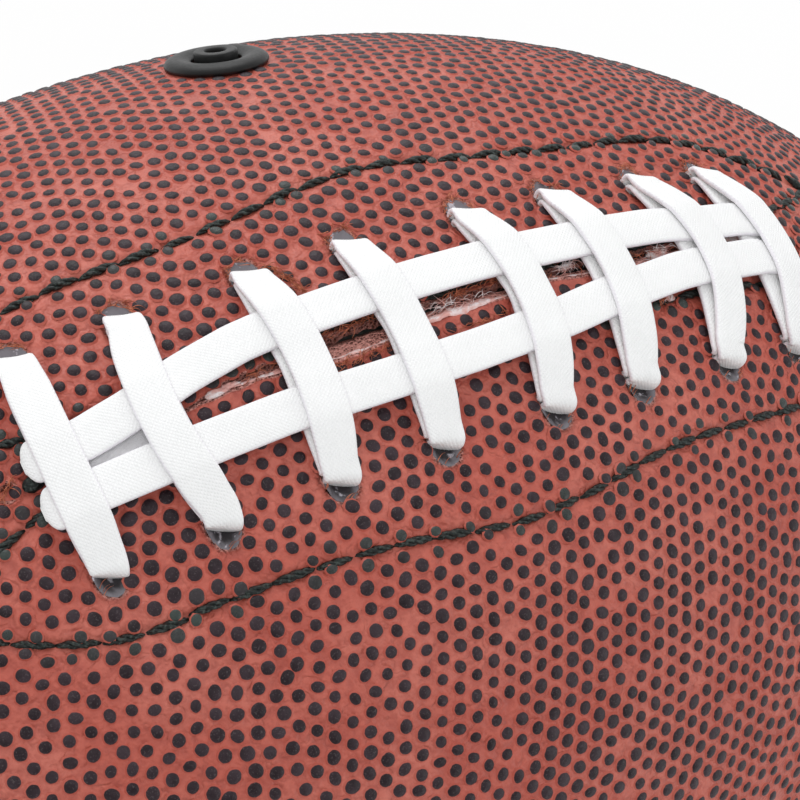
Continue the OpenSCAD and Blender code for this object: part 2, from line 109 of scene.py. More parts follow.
def pathLengths(path):  # how far along a path each of its points is
    return np.concatenate([[0], np.cumsum(np.linalg.norm(np.diff(path, axis=0), axis=1))])


def wander(values, pitch, seed):  # smooth random waves from -1 to 1 along one direction
    waves = [noise.noise(Vector((v / pitch, seed * 7.31, 0.5))) * 1.6 for v in np.ravel(values)]
    return np.array(waves).reshape(np.shape(values))


def wander2(a, b, pitch, seed):
    waves = [noise.noise(Vector((u / pitch, v / pitch, seed * 7.31))) * 1.6 for u, v in zip(np.ravel(a), np.ravel(b))]
    return np.array(waves).reshape(np.shape(a))


# meshes
def placed(name, data):  # a new object in the scene
    piece = bpy.data.objects.new(name, data)
    bpy.context.scene.collection.objects.link(piece)
    return piece


def addMesh(name, points, faces, finish=None):
    mesh = bpy.data.meshes.new(name)
    mesh.from_pydata((np.asarray(points) * mm).tolist(), [], faces)
    mesh.update()
    if faces:
        mesh.polygons.foreach_set("use_smooth", [True] * len(mesh.polygons))
    if finish:
        mesh.materials.append(finish)
    return placed(name, mesh)


def gridFaces(rows, count, closed=False, base=0, order=(0, 1, 2, 3)):  # faces between rows of count points each
    faces = []
    for j in range(rows - 1):
        for k in range(count if closed else count - 1):
            a, b = base + j * count + k, base + j * count + (k + 1) % count
            corners = (a, b, b + count, a + count)
            faces.append([corners[place] for place in order])
    return faces


def store(piece, name, kind, values):
    layer = piece.data.attributes.new(name, kind, "POINT")
    field = "vector" if kind == "FLOAT_VECTOR" else "value"
    layer.data.foreach_set(field, np.ravel(np.asarray(values, np.float32)))


def settle(piece, slot, *nodes):
    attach(piece, "root")
    if nodes:
        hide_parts(*nodes)
    return piece


# shader maths, written as sums
class Wire:
    def __init__(self, board, socket):
        self.board = board
        self.socket = socket

    def work(self, how, *others):
        return self.board.make("ShaderNodeMath", {"operation": how}, [self, *others])

    def __add__(self, other):
        return self.work("ADD", other)

    def __sub__(self, other):
        return self.work("SUBTRACT", other)

    def __mul__(self, other):
        return self.work("MULTIPLY", other)

    def __rsub__(self, other):
        return self.board.make("ShaderNodeMath", {"operation": "SUBTRACT"}, [other, self])

    __radd__ = __add__

    def clamped(self, low=0.0, high=1.0):
        return self.work("MINIMUM", high).work("MAXIMUM", low)

    def step(self, low, high):
        settings = {"interpolation_type": "SMOOTHSTEP"}
        return self.board.make("ShaderNodeMapRange", settings, {"Value": self, "From Min": low, "From Max": high})


class Board:  # a node tree and short ways to fill it
    def __init__(self, tree):
        self.tree = tree
        self.tree.nodes.clear()

    def node(self, kind, settings=None, sockets=None):
        made = self.tree.nodes.new(kind)
        for key, value in (settings or {}).items():
            setattr(made, key, value)
        for key, value in (sockets.items() if isinstance(sockets, dict) else enumerate(sockets or [])):
            if isinstance(value, Wire):
                self.tree.links.new(value.socket, made.inputs[key])
            elif value is not None:
                if isinstance(value, tuple) and len(value) == 3 and made.inputs[key].type == "RGBA":
                    value = (*value, 1)
                made.inputs[key].default_value = value
        return made

    def make(self, kind, settings=None, sockets=None, output=0):
        return Wire(self, self.node(kind, settings, sockets).outputs[output])

    def parts(self, where):  # the x, y and z of a place or direction
        split = self.node("ShaderNodeSeparateXYZ", None, [where])
        return [Wire(self, output) for output in split.outputs]

    def blend(self, share, first, second):
        settings = {"data_type": "RGBA"}
        return self.make("ShaderNodeMix", settings, {0: share, 6: first, 7: second}, 2)


class Finish(Board):
    def __init__(self, name):
        self.material = bpy.data.materials.new(name)
        self.material.use_nodes = True
        super().__init__(self.material.node_tree)
        self.out = self.tree.nodes.new("ShaderNodeOutputMaterial")

    def place(self):
        return self.make("ShaderNodeTexCoord", output="Object")

    def mark(self, name, output="Fac"):
        return self.make("ShaderNodeAttribute", {"attribute_name": name}, output=output)

    def grain(self, scale, detail=2.0, rough=0.5):
        sockets = {"Vector": self.place(), "Scale": scale, "Detail": detail, "Roughness": rough}
        return self.make("ShaderNodeTexNoise", None, sockets, "Fac")

    def cells(self, scale):
        return self.make("ShaderNodeTexVoronoi", None, {"Vector": self.place(), "Scale": scale}, "Distance")

    def measure(self, how, *vectors):
        return self.make("ShaderNodeVectorMath", {"operation": how}, vectors, "Value")

    def shade(self, colour, rough, height, depth, strength=1.0, shine=0.5):
        bump = self.make("ShaderNodeBump", None, {"Height": height, "Distance": depth, "Strength": strength})
        sockets = {"Base Color": colour, "Roughness": rough, "Normal": bump, "Specular IOR Level": shine}
        self.surface(self.make("ShaderNodeBsdfPrincipled", None, sockets))
        return self.material

    def surface(self, shader):
        self.tree.links.new(shader.socket, self.out.inputs["Surface"])


# the finishes
print("football: mixing the finishes")
leather = {
    # the deep clay is both the leather's own deeper tone and painted shade in its hollows and round the pebbles'
    # feet; the light clay is both its lighter tone and a painted highlight round the pebbles; the crease colour is
    # painted shade in creases
    "clay": (0.520, 0.112, 0.077), "clayLightAndHighlight": (0.590, 0.160, 0.116), "clayDeepAndShade": (0.330, 0.055, 0.040),
    "paint": (0.015, 0.007, 0.010), "paintWorn": (0.042, 0.026, 0.033), "paintSpeck": (0.105, 0.085, 0.088),
    "coat": (0.050, 0.068, 0.060), "raw": (0.720, 0.320, 0.270), "rawDark": (0.120, 0.028, 0.016),
    "creaseShade": (0.240, 0.040, 0.030),
}
# the rim colour is partly the vinyl's own cool tint and partly painted shade on the strap's sides
vinyl = {"rim": (0.92, 0.885, 0.94), "dirt": (0.42, 0.22, 0.12), "dirtAt": (-23.10, 4.00, 3.40), "weave": 5200}
tones = {  # the two colours between which each plain finish varies
    "thread": ((0.006, 0.009, 0.008), (0.050, 0.066, 0.058)), "vinyl": ((0.93, 0.93, 0.928), (0.96, 0.96, 0.958)),
    # the hole film's pair runs from its painted shadow to its lit tone
    "film": ((0.70, 0.50, 0.47), (0.86, 0.82, 0.83)), "filmShadowToLight": ((0.016, 0.013, 0.016), (0.20, 0.185, 0.205)),
    "fibre": ((0.30, 0.07, 0.03), (0.60, 0.19, 0.10)), "cloth": ((0.60, 0.55, 0.46), (0.76, 0.72, 0.63)),
    "facing": ((0.22, 0.07, 0.035), (0.42, 0.16, 0.09)), "tongue": ((0.30, 0.12, 0.07), (0.50, 0.25, 0.15)),
    "valve": ((0.005, 0.005, 0.005), (0.013, 0.013, 0.013)), "bladder": ((0.03, 0.03, 0.03), (0.055, 0.054, 0.052)),
    "plug": ((0.010, 0.010, 0.010), (0.022, 0.021, 0.020)),
}


def clayIn(f):  # the leather's own colour, the same between the pebbles and on their feet
    return f.blend(f.grain(70, 3).step(0.35, 0.7), leather["clay"], leather["clayLightAndHighlight"])


def groundLeather():
    f = Finish("leather_ground")
    fine = f.grain(650, 4, 0.6)
    colour = f.blend(fine.step(0.60, 0.36) * 0.4, clayIn(f), leather["clayDeepAndShade"])
    swell = f.grain(330, 3)  # the leather bulges between the pebbles, and is painted darker where it sinks: painted shade
    colour = f.blend(swell.step(0.50, 0.34) * 0.32, colour, leather["clayDeepAndShade"])
    folds = (f.grain(210, 3, 0.55) - 0.5).work("ABSOLUTE")  # soft winding creases between the pebbles, painted darker in their grooves: painted shade
    colour = f.blend(folds.step(0.022, 0.0) * f.grain(110, 2).step(0.42, 0.6) * 0.35, colour, leather["creaseShade"])
    pores, raw = f.cells(2500), f.mark("raw")
    cut = f.blend(pores.step(0.42, 0.20), leather["raw"], leather["rawDark"])
    colour = f.blend(raw.step(0.3, 0.7), colour, cut)
    # painted shade: the shade mark darkens the seam folds, the hole rims and walls, the stitch grooves, the slit's
    # edges and the torn hole
    colour = f.blend(f.mark("shade").clamped(), colour, leather["rawDark"])
    height = fine * 0.5 + swell * 2.6 + folds.step(0.0, 0.06) * 0.3 + raw * pores * 1.5
    return f.shade(colour, 0.42 + fine * 0.22, height, 0.00045)


def pebblePaint():  # each pebble has a painted top, a thin pale ring round it that is a painted highlight, and a darker foot that is painted shade
    f = Finish("leather_pebble")
    reach = f.measure("LENGTH", f.mark("spot", "Vector"))
    edge = (reach + (f.grain(1400, 2) - 0.5) * 0.20).step(0.90, 0.99)
    tone, specks, coat = f.grain(330, 3), f.grain(4200, 2), f.mark("coat")
    paint = f.blend(tone.step(0.3, 0.75), leather["paint"], leather["paintWorn"])
    paint = f.blend(specks.step(0.56, 0.72) * 0.55, paint, leather["paintSpeck"])
    # painted shade: a soft darker ring round the pebble's foot
    clay = f.blend(reach.step(1.28, 1.05) * 0.42, clayIn(f), leather["clayDeepAndShade"])
    # painted highlight: a thin pale ring at the pebble's edge
    clay = f.blend(reach.step(1.10, 1.02) * 0.15, clay, leather["clayLightAndHighlight"])
    colour = f.blend(edge, paint, clay)
    colour = f.blend(coat * (1 - edge) * 0.85, colour, leather["coat"])
    height = f.grain(2600, 3) * 0.9 + tone * 0.4
    return f.shade(colour, 0.46 + (specks - 0.5) * 0.3 - coat * 0.26, height, 0.00016, 0.8, 0.31)


def blackThread():
    f = Finish("black_thread")
    fuzz = f.grain(2400, 3)
    return f.shade(f.blend(fuzz.step(0.45, 0.7), *tones["thread"]), 0.32 + fuzz * 0.3, fuzz, 0.00016, 0.8, 0.4)


def laceVinyl():  # white, with an embossed weave, a cool tint on the rims that is partly the vinyl's own tint and partly painted shade on the strap's sides, and one dirt mark
    f = Finish("lace_vinyl")
    u, v, _ = f.parts(f.make("ShaderNodeUVMap", {"uv_map": "strap"}))
    u, v = u * vinyl["weave"], v * vinyl["weave"]
    weave = ((u + v).work("SINE") * (u - v).work("SINE")).work("ABSOLUTE")
    colour = f.blend(f.grain(120, 4).step(0.3, 0.7), *tones["vinyl"])
    # partly painted shade: the strap's sides take a cool darker tint
    colour = f.blend(f.mark("rim") * 0.7, colour, vinyl["rim"])
    apart = f.measure("DISTANCE", f.place(), tuple(laidPoint(*vinyl["dirtAt"])))
    dirt = (apart + f.grain(2600, 1) * 0.0006).step(0.00082, 0.00066)
    colour = f.blend(dirt * 0.85, colour, vinyl["dirt"])
    return f.shade(colour, 0.42, weave * 0.5 + f.grain(900, 2) * 0.3, 0.00015, 0.8, 0.3)


def driedFilm():  # the white residue on the cut edge, and the fuzz
    f = Finish("dried_film")
    streaks = f.grain(1500, 4, 0.7)
    bare = (f.mark("thin") * 0.6 + f.grain(620, 3).step(0.46, 0.60)).clamped()
    colour = f.blend(bare * 0.8, f.blend(streaks.step(0.35, 0.65), *tones["film"]), leather["raw"])
    return f.shade(colour, 0.22 + streaks * 0.25, streaks, 0.0002, 0.7)


def smokyGlass():  # the film in the holes, with painted shadow beside the strap fading to its lit pale tone at the rim, and painted highlight streaks
    f = Finish("hole_film")
    streaks = f.grain(700, 3, 0.55)
    # the thin mark carries the painted shadow: dark beside the strap, pale at the rim
    share = (f.mark("thin") + (streaks - 0.5) * 0.3).clamped()
    colour = f.blend(share.step(0.55, 1.0), *tones["filmShadowToLight"])
    # painted highlight: pale streaks on the lit part of the film
    colour = f.blend(streaks.step(0.60, 0.70) * share, colour, (0.66, 0.62, 0.68))
    return f.shade(colour, 0.16 + streaks * 0.15, streaks, 0.0002, 0.5)


def frayedFibre():
    f = Finish("frayed_fibre")
    tone = f.grain(1300, 2)
    return f.shade(f.blend(tone.step(0.35, 0.62), *tones["fibre"]), 0.75 - tone * 0.1, tone, 0.00004, 0.5)


def mouldedRubber(kind, gloss, shine=0.5):
    f = Finish(kind + "_rubber")
    fine = f.grain(2200, 3)
    colour = f.blend(f.grain(180, 3).step(0.3, 0.7), *tones[kind])
    return f.shade(colour, gloss + fine * 0.18, fine, 0.00008, 0.35, shine)


def wovenCloth():  # pale cloth, painted near-black and glossier under the slit: painted shade
    f = Finish("lining_cloth")
    u, v, w = f.parts(f.place())
    weave = (u * 6000).work("SINE") * (v * 6000).work("SINE")
    # painted shade: the near-black band where the cloth lies under the slit
    slitShadow = v.work("ABSOLUTE").step(0.014, 0.011) * w.step(0.14, 0.15)
    colour = f.blend(slitShadow, f.blend(weave.step(-0.6, 0.6), *tones["cloth"]), (0.012, 0.016, 0.014))
    return f.shade(colour, 0.85 - slitShadow * 0.5 + f.grain(1200, 2) * 0.1, weave, 0.0001, 0.5)


def splitLeather(kind):
    f = Finish(kind + "_leather")
    nap = f.grain(700, 5, 0.65)
    return f.shade(f.blend(nap.step(0.3, 0.7), *tones[kind]), 0.75 + nap * 0.15, nap, 0.0003, 0.6)


groundFinish = groundLeather()
pebbleFinish = pebblePaint()
threadFinish = blackThread()
laceFinish = laceVinyl()
filmFinish = driedFilm()
glassFinish = smokyGlass()
fibreFinish = frayedFibre()
valveFinish = mouldedRubber("valve", 0.34, 0.34)
bladderFinish = mouldedRubber("bladder", 0.5)
plugFinish = mouldedRubber("plug", 0.6, 0.2)
clothFinish = wovenCloth()
facingFinish = splitLeather("facing")
tongueFinish = splitLeather("tongue")

# the lacing: eight crosses over the slit between the two upper panels
lacing = {
    "crossCount": 8, "crossPitch": 16.03, "holeReach": 14.8, "sink": 0.45,
    "slitStart": -57.5, "slitEnd": (62, 68), "eyeletAt": 63.3, "eyeletRadius": 3.9,
    "lip": {-1: 0.6, 1: -0.15}, "lipWidth": 1.8, "sinkReach": (14, 22), "sinkLength": (57, 66),
    # how far each hole stands off its even place, as shares of the pitch: near side, far side
    "holeShares": {
        -1: [0.03, -0.025, -0.005, -0.055, 0.06, -0.015, 0.045, 0.015],
        1: [0.025, -0.065, 0.05, -0.02, 0.155, 0.105, 0.16, 0.06],
    },
}
hole = {
    # the hole's size, and the dip and painted shade round it
    "snug": 2.2, "drawn": {-1: 1.4, 1: 1.7}, "rough": 0.12, "dip": 0.30, "dipWidth": 0.9, "paintedShade": 0.5, "paintedShadeWidth": 0.6,
    "around": 8, "walls": [(-0.5, 0.12), (-1.5, 0.05), (-3.0, 0.0)],  # how far down and in each line of a wall lies
}
leaf = {  # the outline of each facing's sewing, as [s, d] from its widest place to its tip, outside and inside
    "outer": [(0, 28.6), (10, 27.4), (17, 26.0), (30, 24.5), (45, 24.3), (54, 24.0), (61, 22.5), (66.5, 20.0),
              (70, 18.2), (75.7, 15.4), (80, 12.9), (83, 11.8)],
    "inner": [(0, 4.6), (52, 4.6), (60, 4.9), (64, 6.3), (68, 7.8), (72, 8.7), (75, 9.4), (78, 10.6), (83, 11.8)],
    # the stitch groove, and the painted shade along it
    "groove": 0.50, "grooveWidth": 0.8, "hollow": 0.12, "hollowWidth": 2.2, "paintedShade": 0.40, "paintedShadeWidth": 0.6,
}
pitch = lacing["crossPitch"]
crossPlaces = [(i - (lacing["crossCount"] - 1) / 2) * pitch for i in range(lacing["crossCount"])]
holePlaces = {side: [place + pitch * share for place, share in zip(crossPlaces, shares)]
              for side, shares in lacing["holeShares"].items()}


def rounded(points, times, closed=False):  # cuts the corners of a path of points
    points = np.asarray(points, float)
    for _ in range(times):
        after = np.roll(points, -1, 0) if closed else points[1:]
        first = points if closed else points[:-1]
        cut = np.empty((2 * len(first), points.shape[1]))
        cut[0::2] = 0.75 * first + 0.25 * after
        cut[1::2] = 0.25 * first + 0.75 * after
        points = cut if closed else np.vstack([points[:1], cut, points[-1:]])
    return points


def leafPath(side):  # the closed row of stitches on one lace panel, as [s, d]
    outer, inner = leaf["outer"], leaf["inner"]
    mirrored = [(-s, d) for s, d in inner[1:] + outer[-2:0:-1]]
    return rounded(outer + inner[-2::-1] + mirrored, 4, True) * np.array([1, side])


def evenly(path, step):  # points at equal steps along a closed path
    path = np.vstack([path, path[:1]])
    lengths = pathLengths(path)
    count = max(int(round(lengths[-1] / step)), 2)
    spots = np.linspace(0, lengths[-1], count + 1)[:-1]
    return np.stack([np.interp(spots, lengths, path[:, k]) for k in range(path.shape[1])], -1)


def distanceTo(path, s, d, reach=4.0):  # how far each place is from a path, up to reach
    result = np.full(np.shape(s), reach)
    for p in path:
        result = np.minimum(result, np.hypot(s - p[0], d - p[1]))
    return result


leafSpots = {side: evenly(leafPath(side), 0.8) for side in (-1, 1)}

# the slit as [s, d] lines: the near panel's crest, the end of its raw edge, and the far panel's edge
slitLines = {
    "crest": [(-58, -0.5), (-45, -0.2), (-39, 0.0), (-33, 0.7), (-26, 0.5), (-18, -0.3), (-12, -0.2), (-5, 0.8),
              (2, 1.2), (10, 1.3), (17, 2.0), (24, 1.5), (33, 1.5), (40, 1.8), (50, 1.8), (60, 1.4)],
    "raw": [(-58, -0.3), (-45, 0.0), (-39, 0.3), (-33, 1.7), (-26, 2.2), (-18, 2.3), (-12, 2.3), (-5, 2.6), (2, 2.8),
            (10, 2.8), (17, 3.1), (24, 2.9), (60, 3.0)],
    "far": [(-58, 0.2), (-45, 0.3), (-39, 0.5), (-33, 2.0), (-26, 2.8), (-18, 3.8), (-5, 4.1), (60, 4.2)],
}


def slitLine(name, s):
    places, reaches = zip(*slitLines[name])
    return np.interp(s, places, reaches)


def fade(span, value):  # 1 before a span of places, 0 past it
    return smoothStep(span[1], span[0], value)


def sunk(s, d):  # how far the tight lace has pressed the leather in
    return lacing["sink"] * fade(lacing["sinkReach"], np.abs(d)) * fade(lacing["sinkLength"], np.abs(s))


def slitEdge(side, s):  # how far a panel's edge stands from the seam line, and how much of it is unsewn
    unsewn = smoothStep(lacing["slitStart"] - 1.5, lacing["slitStart"] + 3, s) * fade(lacing["slitEnd"], s)
    edge = -slitLine("crest", s) if side < 0 else slitLine("far", s)
    edge = unsewn * (edge + wander(s, 5.5, 3 + side) * 0.2 + wander(s, 1.3, 5 + side) * 0.10)
    eyelet = np.sqrt(np.maximum(lacing["eyeletRadius"] ** 2 - (s - lacing["eyeletAt"]) ** 2, 0))
    return np.where(eyelet > 0, np.maximum(edge, eyelet), np.where(unsewn > 0, edge, 0.0)), unsewn


def drawnBySlit(d, edge):  # the slit draws the leather and its pebbles along
    return d + edge * (1 - np.clip(d / 12, 0, 1)) ** 2


def lacingRise(side, s, d, edge, unsewn):  # the leather's height beside the slit and under the lace
    return unsewn * lacing["lip"][side] * np.exp(-np.maximum(d - edge, 0) / lacing["lipWidth"]) - sunk(s, d)


# the leather panels: a grid that is fine round the lacing, with holes, a slit edge and turned-in seams
print("football: cutting the panels")
panel = {
    "coarse": 1.7, "fine": 0.5, "fineLength": 70.0, "fineReach": 31.0,
    "roll": 1.5, "rollHeight": 1.4, "rollShare": 0.75, "hollow": 0.35, "hollowWidth": 4.5,  # beside a seam
    # the turned-in edge at a seam, from the seam line and from the leather
    "foldAcross": [0.14, 0.10, 0.10, 0.10, 0.10, 0.10], "foldDown": [-1.15, -1.8, -2.5, -3.1, -3.7, -4.2],
    # in the slit: the near panel's raw edge below its crest, and the far panel's round edge
    "shelfOut": [0.2, 0.45, 0.7, 0.9, 1.0, 0.8], "shelfDown": [-0.22, -0.42, -0.62, -0.82, -1.15, -3.0],
    "farBack": [0.0, 0.3, 0.9, 1.8, 2.6, 2.8], "farDown": [-0.3, -0.8, -1.2, -1.45, -1.55, -3.0],
}
quarter = halfAcross * math.pi / 2


def steps(stops):  # places from (start, step) pairs up to the last start
    places = [stops[0][0]]
    for (start, step), (end, _) in zip(stops[:-1], stops[1:]):
        count = max(int(math.ceil((end - start) / step - 1e-6)), 1)
        places += list(start + (end - start) * (np.arange(count) + 1) / count)
    return np.array(places)


def seamDip(distance):  # the rolled edge and the hollow beside a seam
    inward = 1 - np.clip(distance / panel["roll"], 0, 1)
    roll = panel["rollHeight"] * (1 - np.sqrt(np.clip(1 - inward ** 2, 0, 1)))
    return -panel["rollShare"] * roll - panel["hollow"] * bell(distance, panel["hollowWidth"])


class Hide:  # the points and faces of one panel while it is cut
    def __init__(self):
        self.layers = {"x": [], "d": [], "h": [], "raw": [], "shade": []}
        self.count = 0
        self.faces = []

    def row(self, x, d, h, raw, shade):  # adds a row of points and gives their numbers
        size = np.size(x)
        for layer, values in zip(self.layers.values(), (x, d, h, raw, shade)):
            layer.append(np.broadcast_to(values, (size,)).astype(float))
        self.count += size
        return np.arange(self.count - size, self.count)

    def bridge(self, upper, lower, borders):  # faces between two rows, along pairs of places in them
        self.faces += [[int(upper[p]), int(upper[q]), int(lower[q]), int(lower[p])] for p, q in borders]

    def layer(self, name):
        return np.concatenate(self.layers[name])


def panelColumns(fine, laceSide):  # places on the ball's axis from tip to tip
    coarse = panel["coarse"] / halfLength
    if not laceSide:
        return halfLength * np.sin(steps([(-math.pi / 2, coarse), (math.pi / 2, 1)]))
    reach = float(along(panel["fineLength"]))
    ends = halfLength * np.sin(steps([(math.asin(reach / halfLength), coarse), (math.pi / 2, 1)]))[1:]
    return np.concatenate([-ends[::-1], steps([(-reach, fine), (reach, 1)]), ends])


def holeRadius(outward, side):  # a hole narrows beside the strap and is drawn out away from the slit
    return hole["snug"] + hole["drawn"][side] * np.clip(outward, 0, 1) ** 3


def cutHoles(hide, quads, side, columns):  # opens the lace holes in the grid and gives each a wall
    x, d, h, raw, shade = columns
    s, reach = lengthAt(x), lacing["holeReach"]
    rims = []
    for number, place in enumerate(holePlaces[side]):
        dist, angle = np.hypot(s - place, d - reach), np.arctan2(d - reach, s - place)
        radius = holeRadius(np.sin(angle), side) + hole["rough"] * wander(angle * 2.2, 0.5, number + 20 * side)
        inside = dist < radius
        gone = inside[quads].any(1)
        rim = np.unique(quads[gone])
        rim = rim[~inside[rim]]
        quads = quads[~gone]
        x[rim] = along(place + radius[rim] * np.cos(angle[rim]))
        d[rim] = reach + radius[rim] * np.sin(angle[rim])
        outside, near = np.clip(dist - radius, 0, hole["around"]), dist < hole["around"]
        h -= hole["dip"] * np.exp(-outside / hole["dipWidth"]) * near
        raw[rim] = 0.75
        # painted shade round each hole, where the leather dips into it
        shade[:] = np.maximum(shade, hole["paintedShade"] * bell(outside, hole["paintedShadeWidth"]) * near)
        rims.append((rim, place, angle[rim], radius[rim]))
    hide.row(x, d, h, raw, shade)
    hide.faces += quads.tolist()
    sides = {(face[k], face[(k + 1) % 4]) for face in hide.faces for k in range(4)}
    for above, place, angle, radius in rims:
        order = {int(p): k for k, p in enumerate(above)}
        borders = [(order[p], order[q]) for p, q in sides if p in order and q in order and (q, p) not in sides]
        for level, (depth, inward) in enumerate(hole["walls"]):
            r = radius - inward
            down = ground - lacing["sink"] + depth + 0.2 * wander(angle * 3, 0.4, level + place)
            spots = along(place + r * np.cos(angle)), reach + r * np.sin(angle)
            # painted shade, darker with each line down the wall
            below = hide.row(*spots, down, 1.0, 0.2 + 0.3 * level)
            hide.bridge(below, above, borders)
            above = below


def slitWall(side, level, s, edge, crest, shelf):  # how far out and how high one line of the slit's raw edge lies
    if side < 0:
        out = (slitLine("raw", s) - slitLine("crest", s)) * panel["shelfOut"][level] * shelf
        return edge - out, crest + panel["shelfDown"][level]
    out = np.maximum(edge - panel["farBack"][level] * shelf, np.minimum(edge, 1.0))
    return out, crest + panel["farDown"][level]


def turnIn(hide, side, above, columns):  # the edge at the lacing's seam turns in, and shows its raw cut in the slit
    x, s, scale, edge, unsewn, crest = columns
    shelf = unsewn * smoothStep(60, 58, s)
    eyelet = (edge > 0) & (unsewn < 0.999) & (s > 0)
    for level, (across, down) in enumerate(zip(panel["foldAcross"], panel["foldDown"])):
        out, height = slitWall(side, level, s, edge, crest, shelf)
        out = out + 0.12 * wander(s, 0.9, 40 + level) * shelf
        folded, low = across * scale, ground + down
        d = np.where(eyelet, np.maximum(edge, folded), folded + (out - folded) * unsewn)
        h = low + (height + 0.10 * wander(s, 1.1, 50 + level) - low) * unsewn
        # painted shade: in the slit the far panel's raw edge is dark and the near one darkens at its lowest lines;
        # where sewn, each line of the fold is darker downwards
        dark = 0.35 + 0.13 * level if side > 0 else max(0.0, 0.3 * (level - 3))
        below = hide.row(x, d, h, unsewn, dark * unsewn + 0.17 * (level + 1) * (1 - unsewn))
        hide.bridge(above, below, [(k, k + 1) for k in range(len(x) - 1)])
        above = below


def skinPanel(name, start, laceSide=0):  # laceSide is -1 or 1 beside the lacing, 0 at the back
    fine = panel["fine"] if laceSide else panel["coarse"]
    x = panelColumns(fine, laceSide)
    rows = steps([(0, 0.3), (panel["roll"], fine if laceSide else 0.7),
                  (panel["fineReach"] if laceSide else 5, panel["coarse"]), (quarter - 5, 0.7),
                  (quarter - panel["roll"], 0.3), (quarter, 1)])
    wide = np.repeat(x[None, :], len(rows), 0)
    scale = belly(wide) / halfAcross
    d = rows[:, None] * scale
    h = ground + seamDip((quarter - rows[:, None]) * scale) * smoothStep(0, 3, scale * 30)
    raw, shade = np.zeros_like(d), np.zeros_like(d)
    edge, unsewn = np.zeros(len(x)), np.zeros(len(x))
    s = lengthAt(wide)
    if laceSide:
        edge, unsewn = slitEdge(laceSide, s[0])
        d = drawnBySlit(d, edge)
        h += seamDip(d) * (1 - unsewn) + lacingRise(laceSide, s, d, edge, unsewn)
        h += unsewn * 0.2 * wander2(s, d, 4.0, 11 + laceSide) * np.exp(-np.abs(d) / 5)
        far = distanceTo(leafSpots[laceSide], s, d * laceSide)
        h -= leaf["groove"] * bell(far, leaf["grooveWidth"]) + leaf["hollow"] * bell(far, leaf["hollowWidth"])
        # painted shade along the stitch groove
        shade = np.maximum(shade, leaf["paintedShade"] * bell(far, leaf["paintedShadeWidth"]))
        raw = unsewn * bell(d - edge, 0.28)
    else:
        h += seamDip(d)
    h += 0.05 * wander2(wide, d, 9.0, start)

    hide = Hide()
    quads = np.array(gridFaces(len(rows), len(x), order=(3, 2, 1, 0)))
    columns = [layer.ravel().copy() for layer in (wide, d, h, raw, shade)]
    if laceSide:
        cutHoles(hide, quads, laceSide, columns)
    else:
        hide.row(*columns)
        hide.faces += quads.tolist()
    turnIn(hide, laceSide, np.arange(len(x)), (x, s[0], scale[0], edge, unsewn, h[0]))
    above = np.arange(wide.size - len(x), wide.size)
    for level, (across, down) in enumerate(zip(panel["foldAcross"], panel["foldDown"])):  # the edge at the other seam
        # painted shade, darker with each line down the fold
        below = hide.row(x, (quarter - across) * scale[0], ground + down, 0.0, 0.17 * (level + 1))
        hide.bridge(below, above, [(k, k + 1) for k in range(len(x) - 1)])
        above = below
    side, thin = laceSide or 1, 0.05
    girth = belly(hide.layer("x"))
    turn = math.radians(start) + side * hide.layer("d") / np.maximum(girth, thin)
    turn = np.where(girth < thin, math.radians(start), turn)
    faces = [face[::-1] for face in hide.faces] if side < 0 else hide.faces
    piece = addMesh(name, skinPoint(hide.layer("x"), turn, hide.layer("h")), faces, groundFinish)
    store(piece, "raw", "FLOAT", hide.layer("raw"))
    store(piece, "shade", "FLOAT", hide.layer("shade"))
    return piece


settle(skinPanel("leather_lace_near", 0, -1), "panel_leather", "panel_lace_near")
settle(skinPanel("leather_lace_valve", 0, 1), "panel_leather", "panel_lace_valve")
settle(skinPanel("leather_back_far", 90), "panel_leather", "panel_back_far")
settle(skinPanel("leather_back_near", 180), "panel_leather", "panel_back_near")


# Geometry Nodes: small pieces laid on the leather
def layTree():
    tree = bpy.data.node_groups.new("Lay on the leather", "GeometryNodeTree")
    asked = {"Geometry": "Geometry", "Piece": "Object", "Finish": "Material", "Least size": "Float",
             "Most size": "Float", "Seed": "Int"}
    for name, kind in asked.items():
        tree.interface.new_socket(name, in_out="INPUT", socket_type="NodeSocket" + kind)
    tree.interface.new_socket("Geometry", in_out="OUTPUT", socket_type="NodeSocketGeometry")

    def add(kind, settings, links, output=0):
        made = tree.nodes.new(kind)
        for key, value in settings.items():
            setattr(made, key, value)
        for key, value in links.items():
            if isinstance(value, bpy.types.NodeSocket):
                tree.links.new(value, made.inputs[key])
            else:
                made.inputs[key].default_value = value
        return made.outputs[output]

    given = tree.nodes.new("NodeGroupInput").outputs
    up, heading, size = [add("GeometryNodeInputNamedAttribute", {"data_type": "FLOAT_VECTOR"}, {"Name": name})
                         for name in ("up", "heading", "size")]
    align = "FunctionNodeAlignRotationToVector"
    stand = add(align, {"axis": "Z"}, {"Vector": up})
    swing = add(align, {"axis": "X", "pivot_axis": "Z"}, {"Rotation": stand, "Vector": heading})
    spread = add("FunctionNodeRandomValue", {"data_type": "FLOAT"},
                 {"Min": given["Least size"], "Max": given["Most size"], "Seed": given["Seed"]}, 1)
    grown = add("ShaderNodeVectorMath", {"operation": "SCALE"}, {0: size, "Scale": spread})
    shape = add("GeometryNodeObjectInfo", {"transform_space": "ORIGINAL"}, {"Object": given["Piece"]}, "Geometry")
    laid = add("GeometryNodeInstanceOnPoints", {},
               {"Points": given["Geometry"], "Instance": shape, "Rotation": swing, "Scale": grown})
    real = add("GeometryNodeRealizeInstances", {}, {"Geometry": laid})
    dressed = add("GeometryNodeSetMaterial", {}, {"Geometry": real, "Material": given["Finish"]})
    tree.links.new(dressed, tree.nodes.new("NodeGroupOutput").inputs[0])
    return tree


layNodes = layTree()


